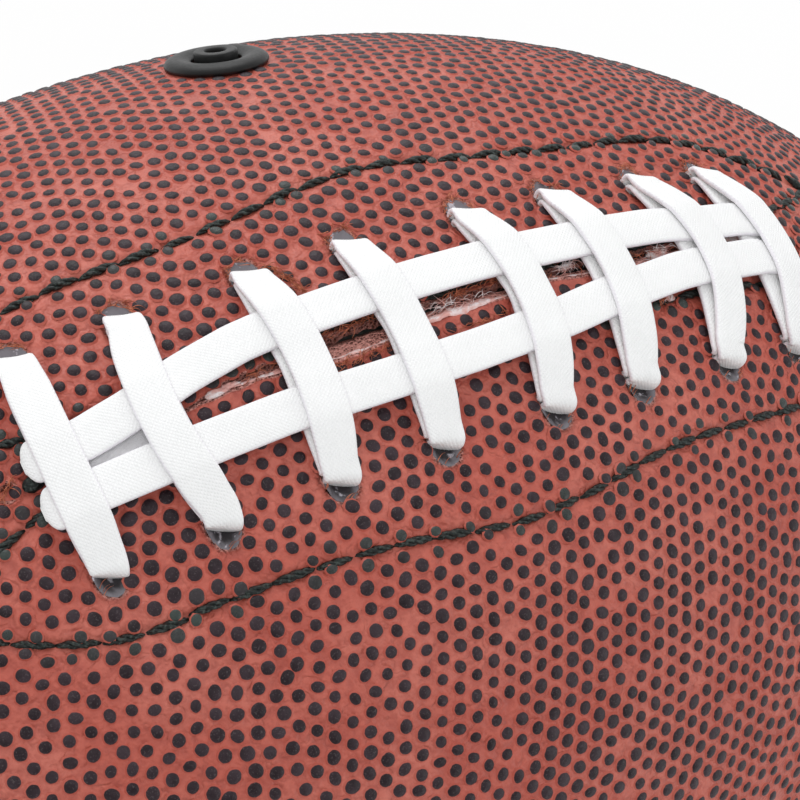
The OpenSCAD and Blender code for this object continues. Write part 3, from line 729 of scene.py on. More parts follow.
# one plain mesh with a copy of the pattern on every point
def lay(name, points, up, heading, size, pattern, finish, least, most, seed, marks=()):
    cloud = addMesh(name, points, [])
    for key, values in (("up", up), ("heading", heading), ("size", size)):
        store(cloud, key, "FLOAT_VECTOR", values)
    for key, values in marks:
        store(cloud, key, "FLOAT", values)
    modifier = cloud.modifiers.new("Lay", "NODES")
    modifier.node_group = layNodes
    values = {"Piece": pattern, "Finish": finish, "Least size": least, "Most size": most, "Seed": seed}
    for item in layNodes.interface.items_tree:
        if item.in_out == "INPUT" and item.name in values:
            modifier[item.identifier] = values[item.name]
    view = bpy.context.evaluated_depsgraph_get()
    mesh = bpy.data.meshes.new_from_object(cloud.evaluated_get(view), preserve_all_data_layers=True, depsgraph=view)
    for spent in (cloud, pattern):
        old = spent.data
        bpy.data.objects.remove(spent)
        bpy.data.meshes.remove(old)
    mesh.name = name
    return placed(name, mesh)


# the pebbles
print("football: raising the pebbles")
pebbles = {
    "pitch": 2.8, "radius": 0.95, "sides": 8, "least": 0.88, "most": 1.07,
    # how they are spread: two irrational steps, and rounds in which they push each other apart
    "strides": (0.7548776662, 0.5698402910), "rounds": 26, "wanted": 1.06, "push": 0.32, "neighbours": 96,
    # the room they leave, and the thickness of the ball's tip where they end
    "roomAtSeam": 1.35, "roomAtHole": 0.35, "roomAtSlit": 0.75, "roomAtLeaf": 0.6, "roomAtValve": 8.1, "tip": 2.2,
    "doubles": 0.02, "doubleShift": 0.22,  # how many run into their neighbour, and how far
    # radius share and height share of each ring, from the leather up
    "rings": [(1.28, -0.10), (1.03, 0.46), (0.72, 0.87)],
}


def pebblePattern():  # a low dome of rings, one unit wide
    count, rings = pebbles["sides"], pebbles["rings"]
    turns = [2 * math.pi * k / count for k in range(count)]
    points = [(share * math.cos(turn), share * math.sin(turn), height * ball["pebbleRise"])
              for share, height in rings for turn in turns]
    points = np.array(points + [(0, 0, ball["pebbleRise"])])
    top = (len(rings) - 1) * count
    cap = [[top + k, top + (k + 1) % count, top + count] for k in range(count)]
    piece = addMesh("pebble_pattern", points, gridFaces(len(rings), count, True) + cap)
    store(piece, "spot", "FLOAT_VECTOR", points * (1, 1, 0))
    return piece


def pebblePlaces(start, seed):
    last = halfLength - 1.5
    xTable = np.linspace(-last, last, 1201)
    weight = belly(xTable) * np.sqrt(1 + slope(xTable) ** 2)
    share = np.concatenate([[0], np.cumsum((weight[1:] + weight[:-1]) / 2)])
    area = share[-1] * (xTable[1] - xTable[0]) * math.pi / 2
    count = int(area / (pebbles["pitch"] ** 2 * math.sqrt(3) / 2))
    share /= share[-1]
    k = np.arange(count) + seed * 997
    xStride, turnStride = pebbles["strides"]
    x = np.interp((0.5 + k * xStride) % 1, share, xTable)
    turn = math.radians(start) + ((0.5 + k * turnStride) % 1) * math.pi / 2
    low, high = math.radians(start), math.radians(start + 90)
    middle, want = (low + high) / 2, pebbles["pitch"] * pebbles["wanted"]
    draw = np.random.default_rng(seed)
    turn = turn + draw.normal(0, 0.004, count)
    for _ in range(pebbles["rounds"]):
        order = np.argsort(x)
        x, turn = x[order], turn[order]
        spots = skinPoint(x, turn, 0.0)
        push = np.zeros_like(spots)
        for gap in range(1, pebbles["neighbours"]):
            apart = spots[gap:] - spots[:-gap]
            if not (np.abs(apart[:, 0]) < want).any():
                break
            dist = np.linalg.norm(apart, axis=1)
            amount = np.where(dist < want, (want - dist) / np.maximum(dist, 1e-3) * pebbles["push"], 0)
            push[gap:] += amount[:, None] * apart
            push[:-gap] -= amount[:, None] * apart
        spots += push
        x = np.clip(spots[:, 0], -last, last)
        turn = np.arctan2(spots[:, 1], spots[:, 2] - halfAcross)
        turn = middle + (turn - middle + math.pi) % (2 * math.pi) - math.pi
        margin = np.minimum(pebbles["roomAtSeam"] / np.maximum(belly(x), 2), 0.7)
        turn = np.clip(turn, low + margin, high - margin)
    return x, turn, draw


def pebbleRow(name, start, seed, laceSide=0):  # the pebbles of one panel
    x, turn, draw = pebblePlaces(start, seed)
    keep = belly(x) > pebbles["tip"]
    coat, squeeze, rise = np.zeros(len(x)), np.ones(len(x)), np.zeros(len(x))
    if laceSide:
        s = lengthAt(x)
        d = np.abs(turn) * belly(x)
        edge, unsewn = slitEdge(laceSide, s)
        d = drawnBySlit(d, edge)
        turn = laceSide * d / np.maximum(belly(x), 1)
        rise = lacingRise(laceSide, s, d, edge, unsewn)
        for place in holePlaces[laceSide]:
            out = d - lacing["holeReach"]
            dist = np.hypot(s - place, out)
            keep &= dist > holeRadius(out / np.maximum(dist, 0.1), laceSide) + pebbles["roomAtHole"]
        far = distanceTo(leafSpots[laceSide], s, d * laceSide)
        keep &= (d > edge + pebbles["roomAtSlit"]) & (far > pebbles["roomAtLeaf"])
        coat = np.clip(1.8 - far / 1.3, 0, 1) * draw.random(len(x)) ** 0.7
        squeeze = np.where(far < 1.6, 0.85, 1.0)
    if laceSide > 0:
        apart = skinPoint(x, turn, 0.0) - skinPoint(0.0, math.radians(ball["valveAngle"]), 0.0)
        keep &= np.linalg.norm(apart, axis=1) > pebbles["roomAtValve"]
    x, turn, coat, squeeze, rise = x[keep], turn[keep], coat[keep], squeeze[keep], rise[keep]
    count = len(x)
    spots = skinPoint(x, turn, 0.0)
    for k in np.nonzero(draw.random(count) < pebbles["doubles"])[0]:
        dist = np.linalg.norm(spots - spots[k], axis=1)
        dist[k] = 99
        other = int(np.argmin(dist))
        x[k] += (x[other] - x[k]) * pebbles["doubleShift"]
        turn[k] += (turn[other] - turn[k]) * pebbles["doubleShift"]
    up = skinNormal(x, turn)
    spin = (draw.random(count) * 2 * math.pi)[:, None]
    east = np.stack([np.ones(count), np.zeros(count), np.zeros(count)], -1)
    east = unit(east - up * (east * up).sum(1)[:, None])
    heading = east * np.cos(spin) + np.cross(up, east) * np.sin(spin)
    long = 1 + 0.14 * draw.random(count) ** 2
    radius = pebbles["radius"] * squeeze * (1 + 0.10 * wander2(x, turn * belly(x), 14, seed))
    size = np.stack([radius * long, radius / long, np.ones(count)], -1)
    row = lay(name, skinPoint(x, turn, ground + rise), up, heading, size, pebblePattern(), pebbleFinish,
              pebbles["least"], pebbles["most"], seed, [("coat", coat)])
    print("football:", name, count, "pebbles,", sum(len(p.vertices) - 2 for p in row.data.polygons), "triangles")
    return row


settle(pebbleRow("pebbles_lace_near", -90, 11, -1), "panel_leather")
settle(pebbleRow("pebbles_lace_valve", 0, 12, 1), "panel_leather")
settle(pebbleRow("pebbles_back_far", 90, 13), "panel_leather")
settle(pebbleRow("pebbles_back_near", 180, 14), "panel_leather")

# the facings' stitches: a thick thread of three twisted strands
print("football: sewing the facings")
stitch = {"length": 5.6, "strand": 0.36, "twist": 0.29, "strands": 3, "sections": 16, "sides": 5, "turns": 1.25,
          "overlap": 1.04, "depth": 0.22, "least": 0.92, "most": 1.08}


def stitchPattern():  # three strands twisted together, which dip into the leather at both ends
    points, faces = [], []
    rows, sides = stitch["sections"], stitch["sides"]
    for strand in range(stitch["strands"]):
        base = len(points)
        for j in range(rows + 1):
            share = j / rows
            swell = math.sin(math.pi * min(max(share, 0.03), 0.97)) ** 0.55
            lift = 0.10 * math.sin(math.pi * share) - 0.55 * abs(2 * share - 1) ** 4
            swing = 2 * math.pi * (stitch["turns"] * share + strand / stitch["strands"])
            y, z = stitch["twist"] * swell * math.cos(swing), stitch["twist"] * swell * math.sin(swing)
            x, r = (share - 0.5) * stitch["length"] * stitch["overlap"], stitch["strand"] * swell
            for k in range(sides):
                turn = 2 * math.pi * k / sides
                points.append((x, y + r * math.cos(turn), lift + z + r * math.sin(turn)))
        faces += gridFaces(rows + 1, sides, True, base, (0, 3, 2, 1))
        faces.append([base + k for k in range(sides)])
        faces.append([base + rows * sides + sides - 1 - k for k in range(sides)])
    return addMesh("stitch_pattern", points, faces)


def stitchRow(name, side):
    spots = evenly(leafPath(side), stitch["length"])
    after, before = np.roll(spots, -1, 0), np.roll(spots, 1, 0)
    s, d = spots.T
    h = ground - stitch["depth"] - sunk(s, d) + 0.12 * wander(s, 4, 28)
    points = laidPoint(s, d + 0.22 * wander(s, 2.5, 27), h)
    heading = laidPoint(after[:, 0], after[:, 1], 0) - laidPoint(before[:, 0], before[:, 1], 0)
    return lay(name, points, laidNormal(s, d), heading, np.ones((len(s), 3)), stitchPattern(), threadFinish,
               stitch["least"], stitch["most"], 5 + side)


settle(stitchRow("stitches_near", -1), "black_thread", "facing_stitch_near")
settle(stitchRow("stitches_far", 1), "black_thread", "facing_stitch_far")

# the lace: one flat strap along its whole route, out through the holes and back inside the ball
print("football: drawing the lace")
strap = {
    "width": 5.8, "thick": 0.95, "drawn": 4.7, "twist": -24, "runReach": 6.0, "tail": 1.5, "bend": 1.0, "step": 0.63,
    "run": 1.33, "innerA": 5.4, "innerB": 6.7, "endGap": 0.3, "smooth": 2, "clearance": 0.03,
    "rest": 0.46, "dip": 0.42, "rise": 0.45, "edge": 14.3, "sag": 0.12, "runSag": 0.12, "blunt": 1.7, "pinch": 0.6,
    "fold": (-57.5, -42.5), "foldInset": 2.2,
    # half the strap's section, as shares of its width and of half its thickness: flat with soft round edges
    "section": [(0.5, 0.2), (0.490, 0.54), (0.462, 0.80), (0.41, 0.96), (0.2, 1.03)],
    # how far each lower and each upper cross bows along the slit, as shares of the pitch
    "lowerBows": [-0.025, -0.10, 0.035, 0.055, 0.115, 0.08, 0.145, 0.045],
    "upperBows": [-0.03, -0.13, 0.07, 0.045, 0.12, 0.12, 0.24, 0.19],
    # places of the long runs, as shares of the last cross's place and of the reach
    "nearRun": [(-1, -0.95), (-0.8, -0.92), (-0.5, -0.87), (-0.2, -0.92), (0, -0.88), (0.13, -0.82), (0.27, -0.7),
                (0.4, -0.53), (0.53, -0.4), (0.67, -0.26), (0.8, -0.22), (1, -0.22)],
    "farRun": [(-1, 0.12), (-0.93, 0.18), (-0.8, 0.4), (-0.67, 0.72), (-0.53, 0.96), (-0.4, 1.04), (-0.27, 1.08),
               (0, 1.12), (0.27, 1.1), (0.4, 1.06), (0.53, 1.06), (0.67, 1.02), (0.8, 0.91), (1, 0.86)],
}
bend = strap["bend"]
reachA, reachB = lacing["holeReach"] - strap["step"], lacing["holeReach"] + strap["step"]
lastCross = crossPlaces[-1]


def crossAt(i, d, bows):  # the place of one cross along the slit, where it is d across it
    q = np.clip(d / (reachA - bend), -1, 1)
    near, far = lacing["holeShares"][-1][i], lacing["holeShares"][1][i]
    return crossPlaces[i] + pitch * ((near + far + (far - near) * q) / 2 + strap[bows][i] * (1 - q * q))


def runAt(name, s):  # how far a long run is from the slit
    places, reaches = zip(*strap[name])
    return np.interp(s / lastCross, places, reaches) * strap["runReach"]


def drawnWidth(share):
    return strap["width"] + (strap["drawn"] - strap["width"]) * share


def roomBetween(s, d):  # 1 midway between the two runs, 0 beside them or where they leave no room
    near, far = runAt("nearRun", s) + strap["width"] / 2, runAt("farRun", s) - strap["width"] / 2
    share = np.clip(1 - ((d - (near + far) / 2) / max((far - near) / 2, 0.1)) ** 2, 0, 1)
    return smoothStep(2.5, 6, far - near) * share


def pinched(d):  # a cross narrows as it nears its holes
    return drawnWidth(strap["pinch"] * smoothStep(9.0, 14.0, abs(d)))


def lowerHeight(i, d):  # the lower cross dips to its holes and rises a little between the runs
    return strap["rest"] - strap["dip"] * (d / 13) ** 2 + strap["rise"] * roomBetween(crossAt(i, d, "lowerBows"), d)


def corner(place, side, reach, level, down):  # the bend into a hole
    return [[place, side * (reach - bend * out), level + down * bend * share, drawnWidth(0.6 + 0.4 * share),
             strap["twist"] * share] for out, share in ((0, 1), (0.06, 0.62), (0.3, 0.26), (0.62, 0.06), (1, 0))]


def lowerCross(i):
    ends = {side: corner(crossAt(i, side * reachA, "lowerBows"), side, reachA, lowerHeight(i, 13.2), -1)
            for side in (-1, 1)}
    middle = [[crossAt(i, d, "lowerBows"), d, lowerHeight(i, d), pinched(d), 0] for d in np.linspace(12, -12, 15)]
    return ends[1] + middle + ends[-1][::-1]


def tautOver(spots, places):  # the height of a string drawn tight over some [across, height] spots
    chain = []
    for spot in sorted(spots):
        while len(chain) > 1:
            (x, y), (nextX, nextY) = chain[-2:]
            if (nextX - x) * (spot[1] - y) < (nextY - y) * (spot[0] - x):
                break
            chain.pop()
        chain.append(spot)
    across, heights = zip(*chain)
    return np.interp(places, across, heights)


def upperCross(i):  # it lies tight over the two runs and over the lower cross
    half = strap["thick"] / 2
    spots = [(d, lowerHeight(i, d) + half) for d in np.linspace(-13, 13, 27)]
    spots += [(side * strap["edge"], lowerHeight(i, 13) + half - 0.25) for side in (-1, 1)]
    for name in ("nearRun", "farRun"):
        middle, top = runAt(name, crossAt(i, 0, "upperBows")), strap["run"] + half
        for out, low in ((2.0, 0.0), (2.6, 0.06), (2.85, 0.22)):
            spots += [(middle - out, top - low), (middle + out, top - low)]
    places = np.linspace(-14, 14, 29)
    heights = tautOver(spots, places) + half + strap["clearance"]
    sag = np.array([roomBetween(crossAt(i, d, "upperBows"), d) for d in places])
    heights = heights - strap["sag"] * sag
    middle = [[crossAt(i, d, "upperBows"), d, h, pinched(d), 0] for d, h in zip(places, heights)]
    ends = []
    for side, level in ((-1, heights[0]), (1, heights[-1])):
        place = crossAt(i, side * reachB, "upperBows")
        into = ((0, -0.9, 1), (0.02, -0.25, 1), (0.18, 0.3, 0.9), (0.55, level - 0.22, 0.75))
        ends.append([[place, side * (reachB - out), low, drawnWidth(share), strap["twist"] * (2 * share - 1)]
                     for out, low, share in into])
    return ends[0] + middle + ends[1][::-1]


def innerRun(i, side, reach, depth):  # the bend inside a hole
    return corner(crossAt(i, side * reach, "lowerBows"), side, reach, -depth, 1)


def innerBack(i, reach, depth):  # inside the ball, from a near hole to the far hole of the next cross
    near, far = crossAt(i, -reach, "lowerBows"), crossAt(i - 1, reach, "lowerBows")
    across = [[(near + far) / 2 + (far - near) * k / 4, k * strap["runReach"], -depth, strap["width"], 0]
              for k in (-1, 0, 1)]
    return innerRun(i, -1, reach, depth) + across + innerRun(i - 1, 1, reach, depth)[::-1]


def longRun(name):  # it lies over the lower crosses and sinks a little between them
    places = np.linspace(-lastCross, lastCross, 8 * (lacing["crossCount"] - 1) + 1)
    return [[s, runAt(name, s), strap["run"] - strap["runSag"] * math.sin(math.pi * (s - lastCross) / pitch) ** 2,
             strap["width"], 90] for s in places]


def tail(name):
    d, edge = runAt(name, -lastCross), -lastCross - strap["width"] / 2
    return [[edge - strap["tail"] * out, d, strap["run"] - low, strap["width"], 90]
            for out, low in ((1, 0.75), (0.5, 0.4), (0, 0.1))]


endWidth = lacing["eyeletRadius"] - 3 * strap["endGap"]
endReach = (endWidth + strap["endGap"]) / 2
slitEnd = lacing["eyeletAt"]


def dropDown(side, depth):  # a run goes down through the slit's end hole
    return [
        [slitEnd - bend, side * (endWidth + strap["endGap"]), strap["run"], (strap["width"] + endWidth) / 2, 90],
        [slitEnd - bend * 0.3, side * endReach, strap["run"] - bend * 0.3, endWidth, 90],
        [slitEnd, side * endReach, strap["run"] - 1.5 * bend, endWidth, 90],
        [slitEnd, side * endReach, -depth / 2, endWidth, 90],
    ]


def linkA():  # from the end hole to the last far hole
    depth = strap["innerA"]
    return [
        [slitEnd - 0.3 * bend, -endReach, -depth + bend, endWidth, 80],
        [slitEnd - 1.6 * bend, -endReach, -depth + 0.2 * bend, endWidth, 60],
        [slitEnd - 2.8 * bend, endReach, -depth, endWidth, 35],
        [crossAt(lacing["crossCount"] - 1, reachA, "lowerBows"), reachA / 2, -depth, strap["drawn"], 12],
    ]


def linkB():  # from the end hole to the last far hole, under the other link
    depth = strap["innerB"]
    return [
        [slitEnd, endReach, -depth + 1.2 * bend, endWidth, 80],
        [slitEnd - 0.2 * bend, endReach + 0.7 * bend, -depth + 0.2 * bend, endWidth, 50],
        [slitEnd - 1.4 * bend, endReach + 2.8 * bend, -depth, endWidth, 30],
        [crossAt(lacing["crossCount"] - 1, reachB, "lowerBows"), reachB * 0.62, -depth, strap["drawn"], 12],
    ]


def foldBack():  # after the first lower cross the lace folds back under itself
    place, a, b = crossAt(0, -reachA, "lowerBows"), strap["innerA"], strap["innerB"]
    fold = [[place, out * strap["step"] - strap["runReach"], -a - share * (b - a), strap["width"], 0]
            for out, share in ((0, 0), (1, 0.15), (1.3, 0.5), (1, 0.85), (0, 1))]
    return innerRun(0, -1, reachA, a) + fold + innerRun(0, -1, reachB, b)[::-1]


def laceRoute():
    a, b = strap["innerA"], strap["innerB"]
    last = lacing["crossCount"] - 1
    route = tail("nearRun") + longRun("nearRun") + dropDown(-1, a) + linkA()
    route += innerRun(last, 1, reachA, a)[::-1]
    for i in range(last, 0, -1):
        route += lowerCross(i) + innerBack(i, reachA, a)
    route += lowerCross(0) + foldBack()
    for i in range(last):
        route += upperCross(i) + innerBack(i + 1, reachB, b)[::-1]
    route += upperCross(last) + innerRun(last, 1, reachB, b) + linkB()[::-1]
    return np.array(route + dropDown(1, b)[::-1] + longRun("farRun")[::-1] + tail("farRun")[::-1])


def laceStrap(name):
    s, d, h, width, swing = rounded(laceRoute(), strap["smooth"]).T
    points = laidPoint(s, d, h)
    ahead = unit(np.vstack([points[1:], points[-1:]]) - np.vstack([points[:1], points[:-1]]))
    u, v = unit(laidPoint(s + 1, d, h) - points), unit(laidPoint(s, d + 1, h) - points)
    turn = np.radians(swing)[:, None]
    across = u * np.cos(turn) + v * np.sin(turn)
    across = unit(across - ahead * (across * ahead).sum(1)[:, None])
    up = np.cross(ahead, across)
    lengths = pathLengths(points)
    fromEnd = np.clip(np.minimum(lengths, lengths[-1] - lengths) / strap["blunt"], 0, 1)
    taper = np.sqrt(np.clip(1 - (1 - fromEnd) ** 2, 0.12, 1))
    width = width * taper * (1 + 0.012 * wander(lengths, 7, 61))
    thick = strap["thick"] / 2 * (0.4 + 0.6 * taper)
    right = [(w, -t) for w, t in strap["section"][::-1]] + strap["section"]
    section = right + [(-w, -t) for w, t in right]
    sides, count = len(section), len(points)
    rings = np.stack([points + across * (w * width)[:, None] + up * (t * thick)[:, None] for w, t in section], 1)
    faces = gridFaces(count, sides, True)
    faces += [list(range(sides))[::-1], [(count - 1) * sides + j for j in range(sides)]]
    piece = addMesh(name, rings.reshape(-1, 3), faces, laceFinish)
    girth = [w * strap["width"] for w, t in section]
    spots = [(length * mm, wide * mm) for length in lengths for wide in girth]
    uvs = [spots[point] for face in faces[:-2] for point in face] + [(0.0, 0.0)] * (2 * sides)
    piece.data.uv_layers.new(name="strap").data.foreach_set("uv", np.array(uvs, np.float32).ravel())
    # the rim mark picks out the strap's sides for their cool tint, partly painted shade
    store(piece, "rim", "FLOAT", np.tile([smoothStep(0.46, 0.495, abs(w)) for w, t in section], count))
    return piece


def laceFold(name):  # the turned edge of a run that fills the wedge past the first cross
    s, shares = np.linspace(*strap["fold"], 26), np.linspace(0, 1, 6)
    near, far = runAt("nearRun", s) + strap["foldInset"], runAt("farRun", s) - strap["foldInset"]
    rows = []
    for share in shares:
        height = strap["run"] - 0.25 - 0.35 * share + 0.05 * wander(s, 3, 60 + int(share * 9))
        rows.append(laidPoint(s, near + (far - near) * share, height))
    piece = addMesh(name, np.concatenate(rows), gridFaces(len(shares), len(s)), laceFinish)
    piece.data.uv_layers.new(name="strap")
    # painted shade: the whole fold takes much of the cool rim tint
    store(piece, "rim", "FLOAT", np.full(len(shares) * len(s), 0.6))
    return piece


settle(laceStrap("lace_strap"), "lace_vinyl", "lace")
settle(laceFold("lace_fold"), "lace_vinyl")


# what shows in the slit and round the holes
print("football: filling the slit")
trim = {
    # the far holes' films are painted lighter
    "filmStep": 0.35, "filmReach": (-37.0, 60.0), "holeRings": 8, "holeSides": 17, "farHoleLight": 0.45,
    "fibreSegments": 7, "fibreLength": 1.8, "fibreThick": 0.075, "fibreLeast": 0.5, "fibreMost": 1.15,
    "holeStrands": {-1: 6, 1: 34}, "endHole": (-63.5, -0.9), "endSides": 24,
    # rough lumps as [s, d, height, length, width, thickness]
    "lumps": [(-34.6, 0.9, -0.50, 1.6, 0.7, 0.3), (-32.6, 1.3, -0.50, 1.3, 0.45, 0.2),
              (37.6, 2.5, -0.50, 2.2, 0.7, 0.35), (35.3, -4.4, -0.5, 1.0, 0.7, 0.35), (55.0, 2.9, -0.55, 2.4, 0.6, 0.3)],
    "knots": [(-60.2, -1.3, -0.35, 1.3, 1.0, 0.7), (44.0, 2.6, -0.3, 1.1, 0.5, 0.5)],
    # rows of loose strands as [s, last s, d, last d, how many, height]
    "orange": [(-20.4, -17.2, 16.2, 10.2, 80, -0.25), (-19, -9, -1.3, -0.8, 70, -0.25), (-19, -9, 3.4, 4.2, 60, -0.6),
               (0, 12, 3.4, 4.3, 90, -0.5), (-1, 8, -1.6, -1.1, 36, -0.3), (14, 27, 2.9, 3.4, 30, -0.6),
               (32, 46, 2.6, 3.2, 26, -0.6), (-30, -24, 1.6, 2.2, 20, -0.5), (33, 37, -5.0, -3.6, 30, -0.3),
               (-64.6, -62.2, -1.6, 0.2, 22, -0.35)],
    "white": [(19.0, 22.4, 3.2, 3.6, 60, -0.25), (35.4, 40.4, 2.6, 3.0, 50, -0.3), (-5.0, 6.5, 2.9, 2.4, 60, -0.45),
              (51, 59, 2.6, 3.2, 30, -0.4)],
    # the small torn hole: [radius, height, rawness, painted shade] from its floor outwards
    "torn": [(0.1, -1.5, 0.2, 1), (0.75, -1.3, 0.2, 0.95), (0.95, -0.7, 1, 0.6), (1.1, -0.12, 1, 0.15),
             (1.3, 0.10, 1, 0), (1.7, 0.0, 0.2, 0), (2.2, -0.2, 0.2, 0)],
    # the strip of leather under the lacing
    "tongueLength": 143.0, "tongueAcross": 41.0, "tongueTop": -7.5, "tongueThick": 1.2,
}
holeLevel = ground - lacing["sink"] * 0.5  # the leather round the lace holes


def shelfHeight(s, d):  # the near panel's leather and raw edge beside the slit
    crest, raw = slitLine("crest", s), slitLine("raw", s)
    lip = lacing["lip"][-1]
    base = ground + lip - lacing["sink"]
    share = np.clip((d - crest) / np.maximum(raw - crest, 0.2), 0, 1)
    beside = base - lip + lip * np.exp(-(crest - d) / lacing["lipWidth"])
    return np.where(d > crest, base - 0.85 * share, beside)


def marked(name, points, faces, finish, **marks):  # a mesh with a number on each of its points
    piece = addMesh(name, np.concatenate(points), faces, finish)
    for key, values in marks.items():
        store(piece, key, "FLOAT", np.concatenate(values))
    return piece


def slitFilm(name):  # the white fibrous film along the near panel's crest
    start, end = trim["filmReach"]
    s = np.arange(start, end, trim["filmStep"])
    wide = 0.06 + 0.30 * np.clip(wander(s, 7, 71) + 0.25, 0, 1) + 0.45 * bell(s - 3, 7) + 0.22 * wander(s, 1.1, 72)
    wide = np.clip(wide, 0.05, 0.9) * smoothStep(start, start + 3, s) * smoothStep(end, end - 2, s)
    middle = slitLine("crest", s) + 0.30 + 0.2 * wander(s, 3.0, 73)
    points, tones = [], []
    for k, share in enumerate((-1.0, -0.55, 0.0, 0.5, 1.0)):
        d = middle + share * wide + 0.08 * wander(s, 0.8, 80 + k)
        lift = 0.02 + 0.16 * (1 - share ** 2) * (0.6 + 0.4 * wander(s, 0.9, 90 + k))
        points.append(laidPoint(s, d, shelfHeight(s, d) + lift))
        tones.append(np.full(len(s), abs(share)))
    return marked(name, points, gridFaces(len(points), len(s)), filmFinish, thin=tones)


def blobs(name, spots, finish, seed):  # rough rounded lumps laid on the leather
    rows, sides = 10, 14
    turn = np.arange(sides) * 2 * math.pi / sides
    points, faces = [], []
    for number, (s, d, h, length, width, thick) in enumerate(spots):
        faces += gridFaces(rows, sides, True, len(points) * sides, (0, 3, 2, 1))
        for j in range(rows):
            lean = math.pi * j / (rows - 1)
            rough = 1 + 0.35 * wander2(turn * 2 + number * 5, np.full(sides, lean * 2), 0.9, seed)
            out = math.sin(lean) * rough
            points.append(laidPoint(s + out * np.cos(turn) * length, d + out * np.sin(turn) * width,
                                    h + thick * math.cos(lean) * rough))
    return marked(name, points, faces, finish, thin=[np.zeros(len(points) * sides)])


def holeFilms(name):  # the glassy film in each hole beyond the strap
    points, shares, faces = [], [], []
    rings, sides = trim["holeRings"], trim["holeSides"]
    turn = np.linspace(-1.5, 1.5, sides)
    for side in (-1, 1):
        for number, place in enumerate(holePlaces[side]):
            order = (0, 1, 2, 3) if side < 0 else (3, 2, 1, 0)
            faces += gridFaces(rings, sides, False, len(points) * sides, order)
            for j in range(rings):
                share = j / (rings - 1)
                r = 0.2 + (holeRadius(np.cos(turn), side) - 0.12) * share
                h = holeLevel - 0.95 + 0.75 * share ** 2 + 0.08 * wander(turn * 2, 0.5, number + j)
                points.append(laidPoint(place + r * np.sin(turn), side * (lacing["holeReach"] + r * np.cos(turn)), h))
                # painted shadow beside the strap that fades to lit at the rim, with the far holes' films painted
                # lighter
                tone = share + (trim["farHoleLight"] if side > 0 else 0.0)
                shares.append(tone + 0.12 * wander(turn * 3 + number, 0.4, 31 + j))
    return marked(name, points, faces, glassFinish, thin=shares)


def fibrePattern():  # a short curled strand that lies along X
    points, count = [], trim["fibreSegments"]
    for j in range(count + 1):
        share = j / count
        r, x = trim["fibreThick"] * (1.2 - share), (share - 0.1) * trim["fibreLength"]
        y, z = 0.35 * math.sin(share * 2.6), 0.30 * math.sin(share * 3.4)
        points += [(x, y + r * math.cos(k * 2.094), z + r * math.sin(k * 2.094)) for k in range(3)]
    ends = [[2, 1, 0], [count * 3, count * 3 + 1, count * 3 + 2]]
    return addMesh("fibre_pattern", points, gridFaces(count + 1, 3, True) + ends)


def rowSpots(rows, draw):  # [s, d, height, heading along the slit, heading across it]
    spots = []
    for first, last, dFirst, dLast, count, h in rows:
        for share in draw.random(count):
            lean = math.atan2(dLast - dFirst, last - first) + draw.normal(0, 0.6)
            way = draw.choice((-1, 1))
            d, h2 = dFirst + (dLast - dFirst) * share + draw.normal(0, 0.2), h + draw.uniform(-0.1, 0.2)
            spots.append((first + (last - first) * share, d, h2, math.cos(lean) * way, math.sin(lean) * way))
    return spots


def strandRow(name, spots, finish, seed):
    s, d, h, alongWay, acrossWay = np.array(spots).T
    points = laidPoint(s, d, h)
    heading = laidPoint(s + 0.1 * alongWay, d + 0.1 * acrossWay, h) - points
    return lay(name, points, laidNormal(s, d), heading / mm, np.ones((len(s), 3)), fibrePattern(), finish,
               trim["fibreLeast"], trim["fibreMost"], seed)


def fibres(name):  # frayed strands round the holes and along the slit
    draw = np.random.default_rng(5)
    spots = rowSpots(trim["orange"], draw)
    for place in holePlaces[1]:
        for turn in draw.uniform(-1.0, 1.0, trim["holeStrands"][1]):
            r = holeRadius(math.cos(turn), 1) + draw.uniform(-0.5, 0.35)
            lean = turn + draw.choice((-1, 1)) * draw.uniform(0.6, 1.7)
            spots.append((place + r * math.sin(turn), lacing["holeReach"] + r * math.cos(turn),
                          holeLevel - 0.1 + draw.uniform(-0.2, 0.3), math.sin(lean), math.cos(lean)))
    for place in holePlaces[-1]:
        for turn in draw.uniform(-1.2, 1.2, trim["holeStrands"][-1]):
            r = holeRadius(math.cos(turn), -1) + draw.uniform(-0.4, 0.1)
            spots.append((place + r * math.sin(turn), -lacing["holeReach"] - r * math.cos(turn), holeLevel - 0.3,
                          math.cos(turn), 0.3))
    return strandRow(name, spots, fibreFinish, 17)


def endHole(name):  # the small torn hole past the slit's closed end
    place, across = trim["endHole"]
    count = trim["endSides"]
    turn = np.arange(count) * math.pi / (count / 2)
    points, raw, shade = [], [], []
    for number, (r, h, torn, dark) in enumerate(trim["torn"]):
        rough = 1 + 0.12 * wander(turn * 3, 0.5, 44 + number)
        points.append(laidPoint(place + r * rough * np.cos(turn), across + r * rough * np.sin(turn),
                                ground - 0.15 + h + 0.12 * wander(turn * 4, 0.5, 54 + number)))
        raw.append(np.full(count, torn))
        shade.append(np.full(count, dark))
    faces = gridFaces(len(points), count, True, 0, (1, 0, 3, 2)) + [list(range(count))]
    return marked(name, points, faces, groundFinish, raw=raw, shade=shade)


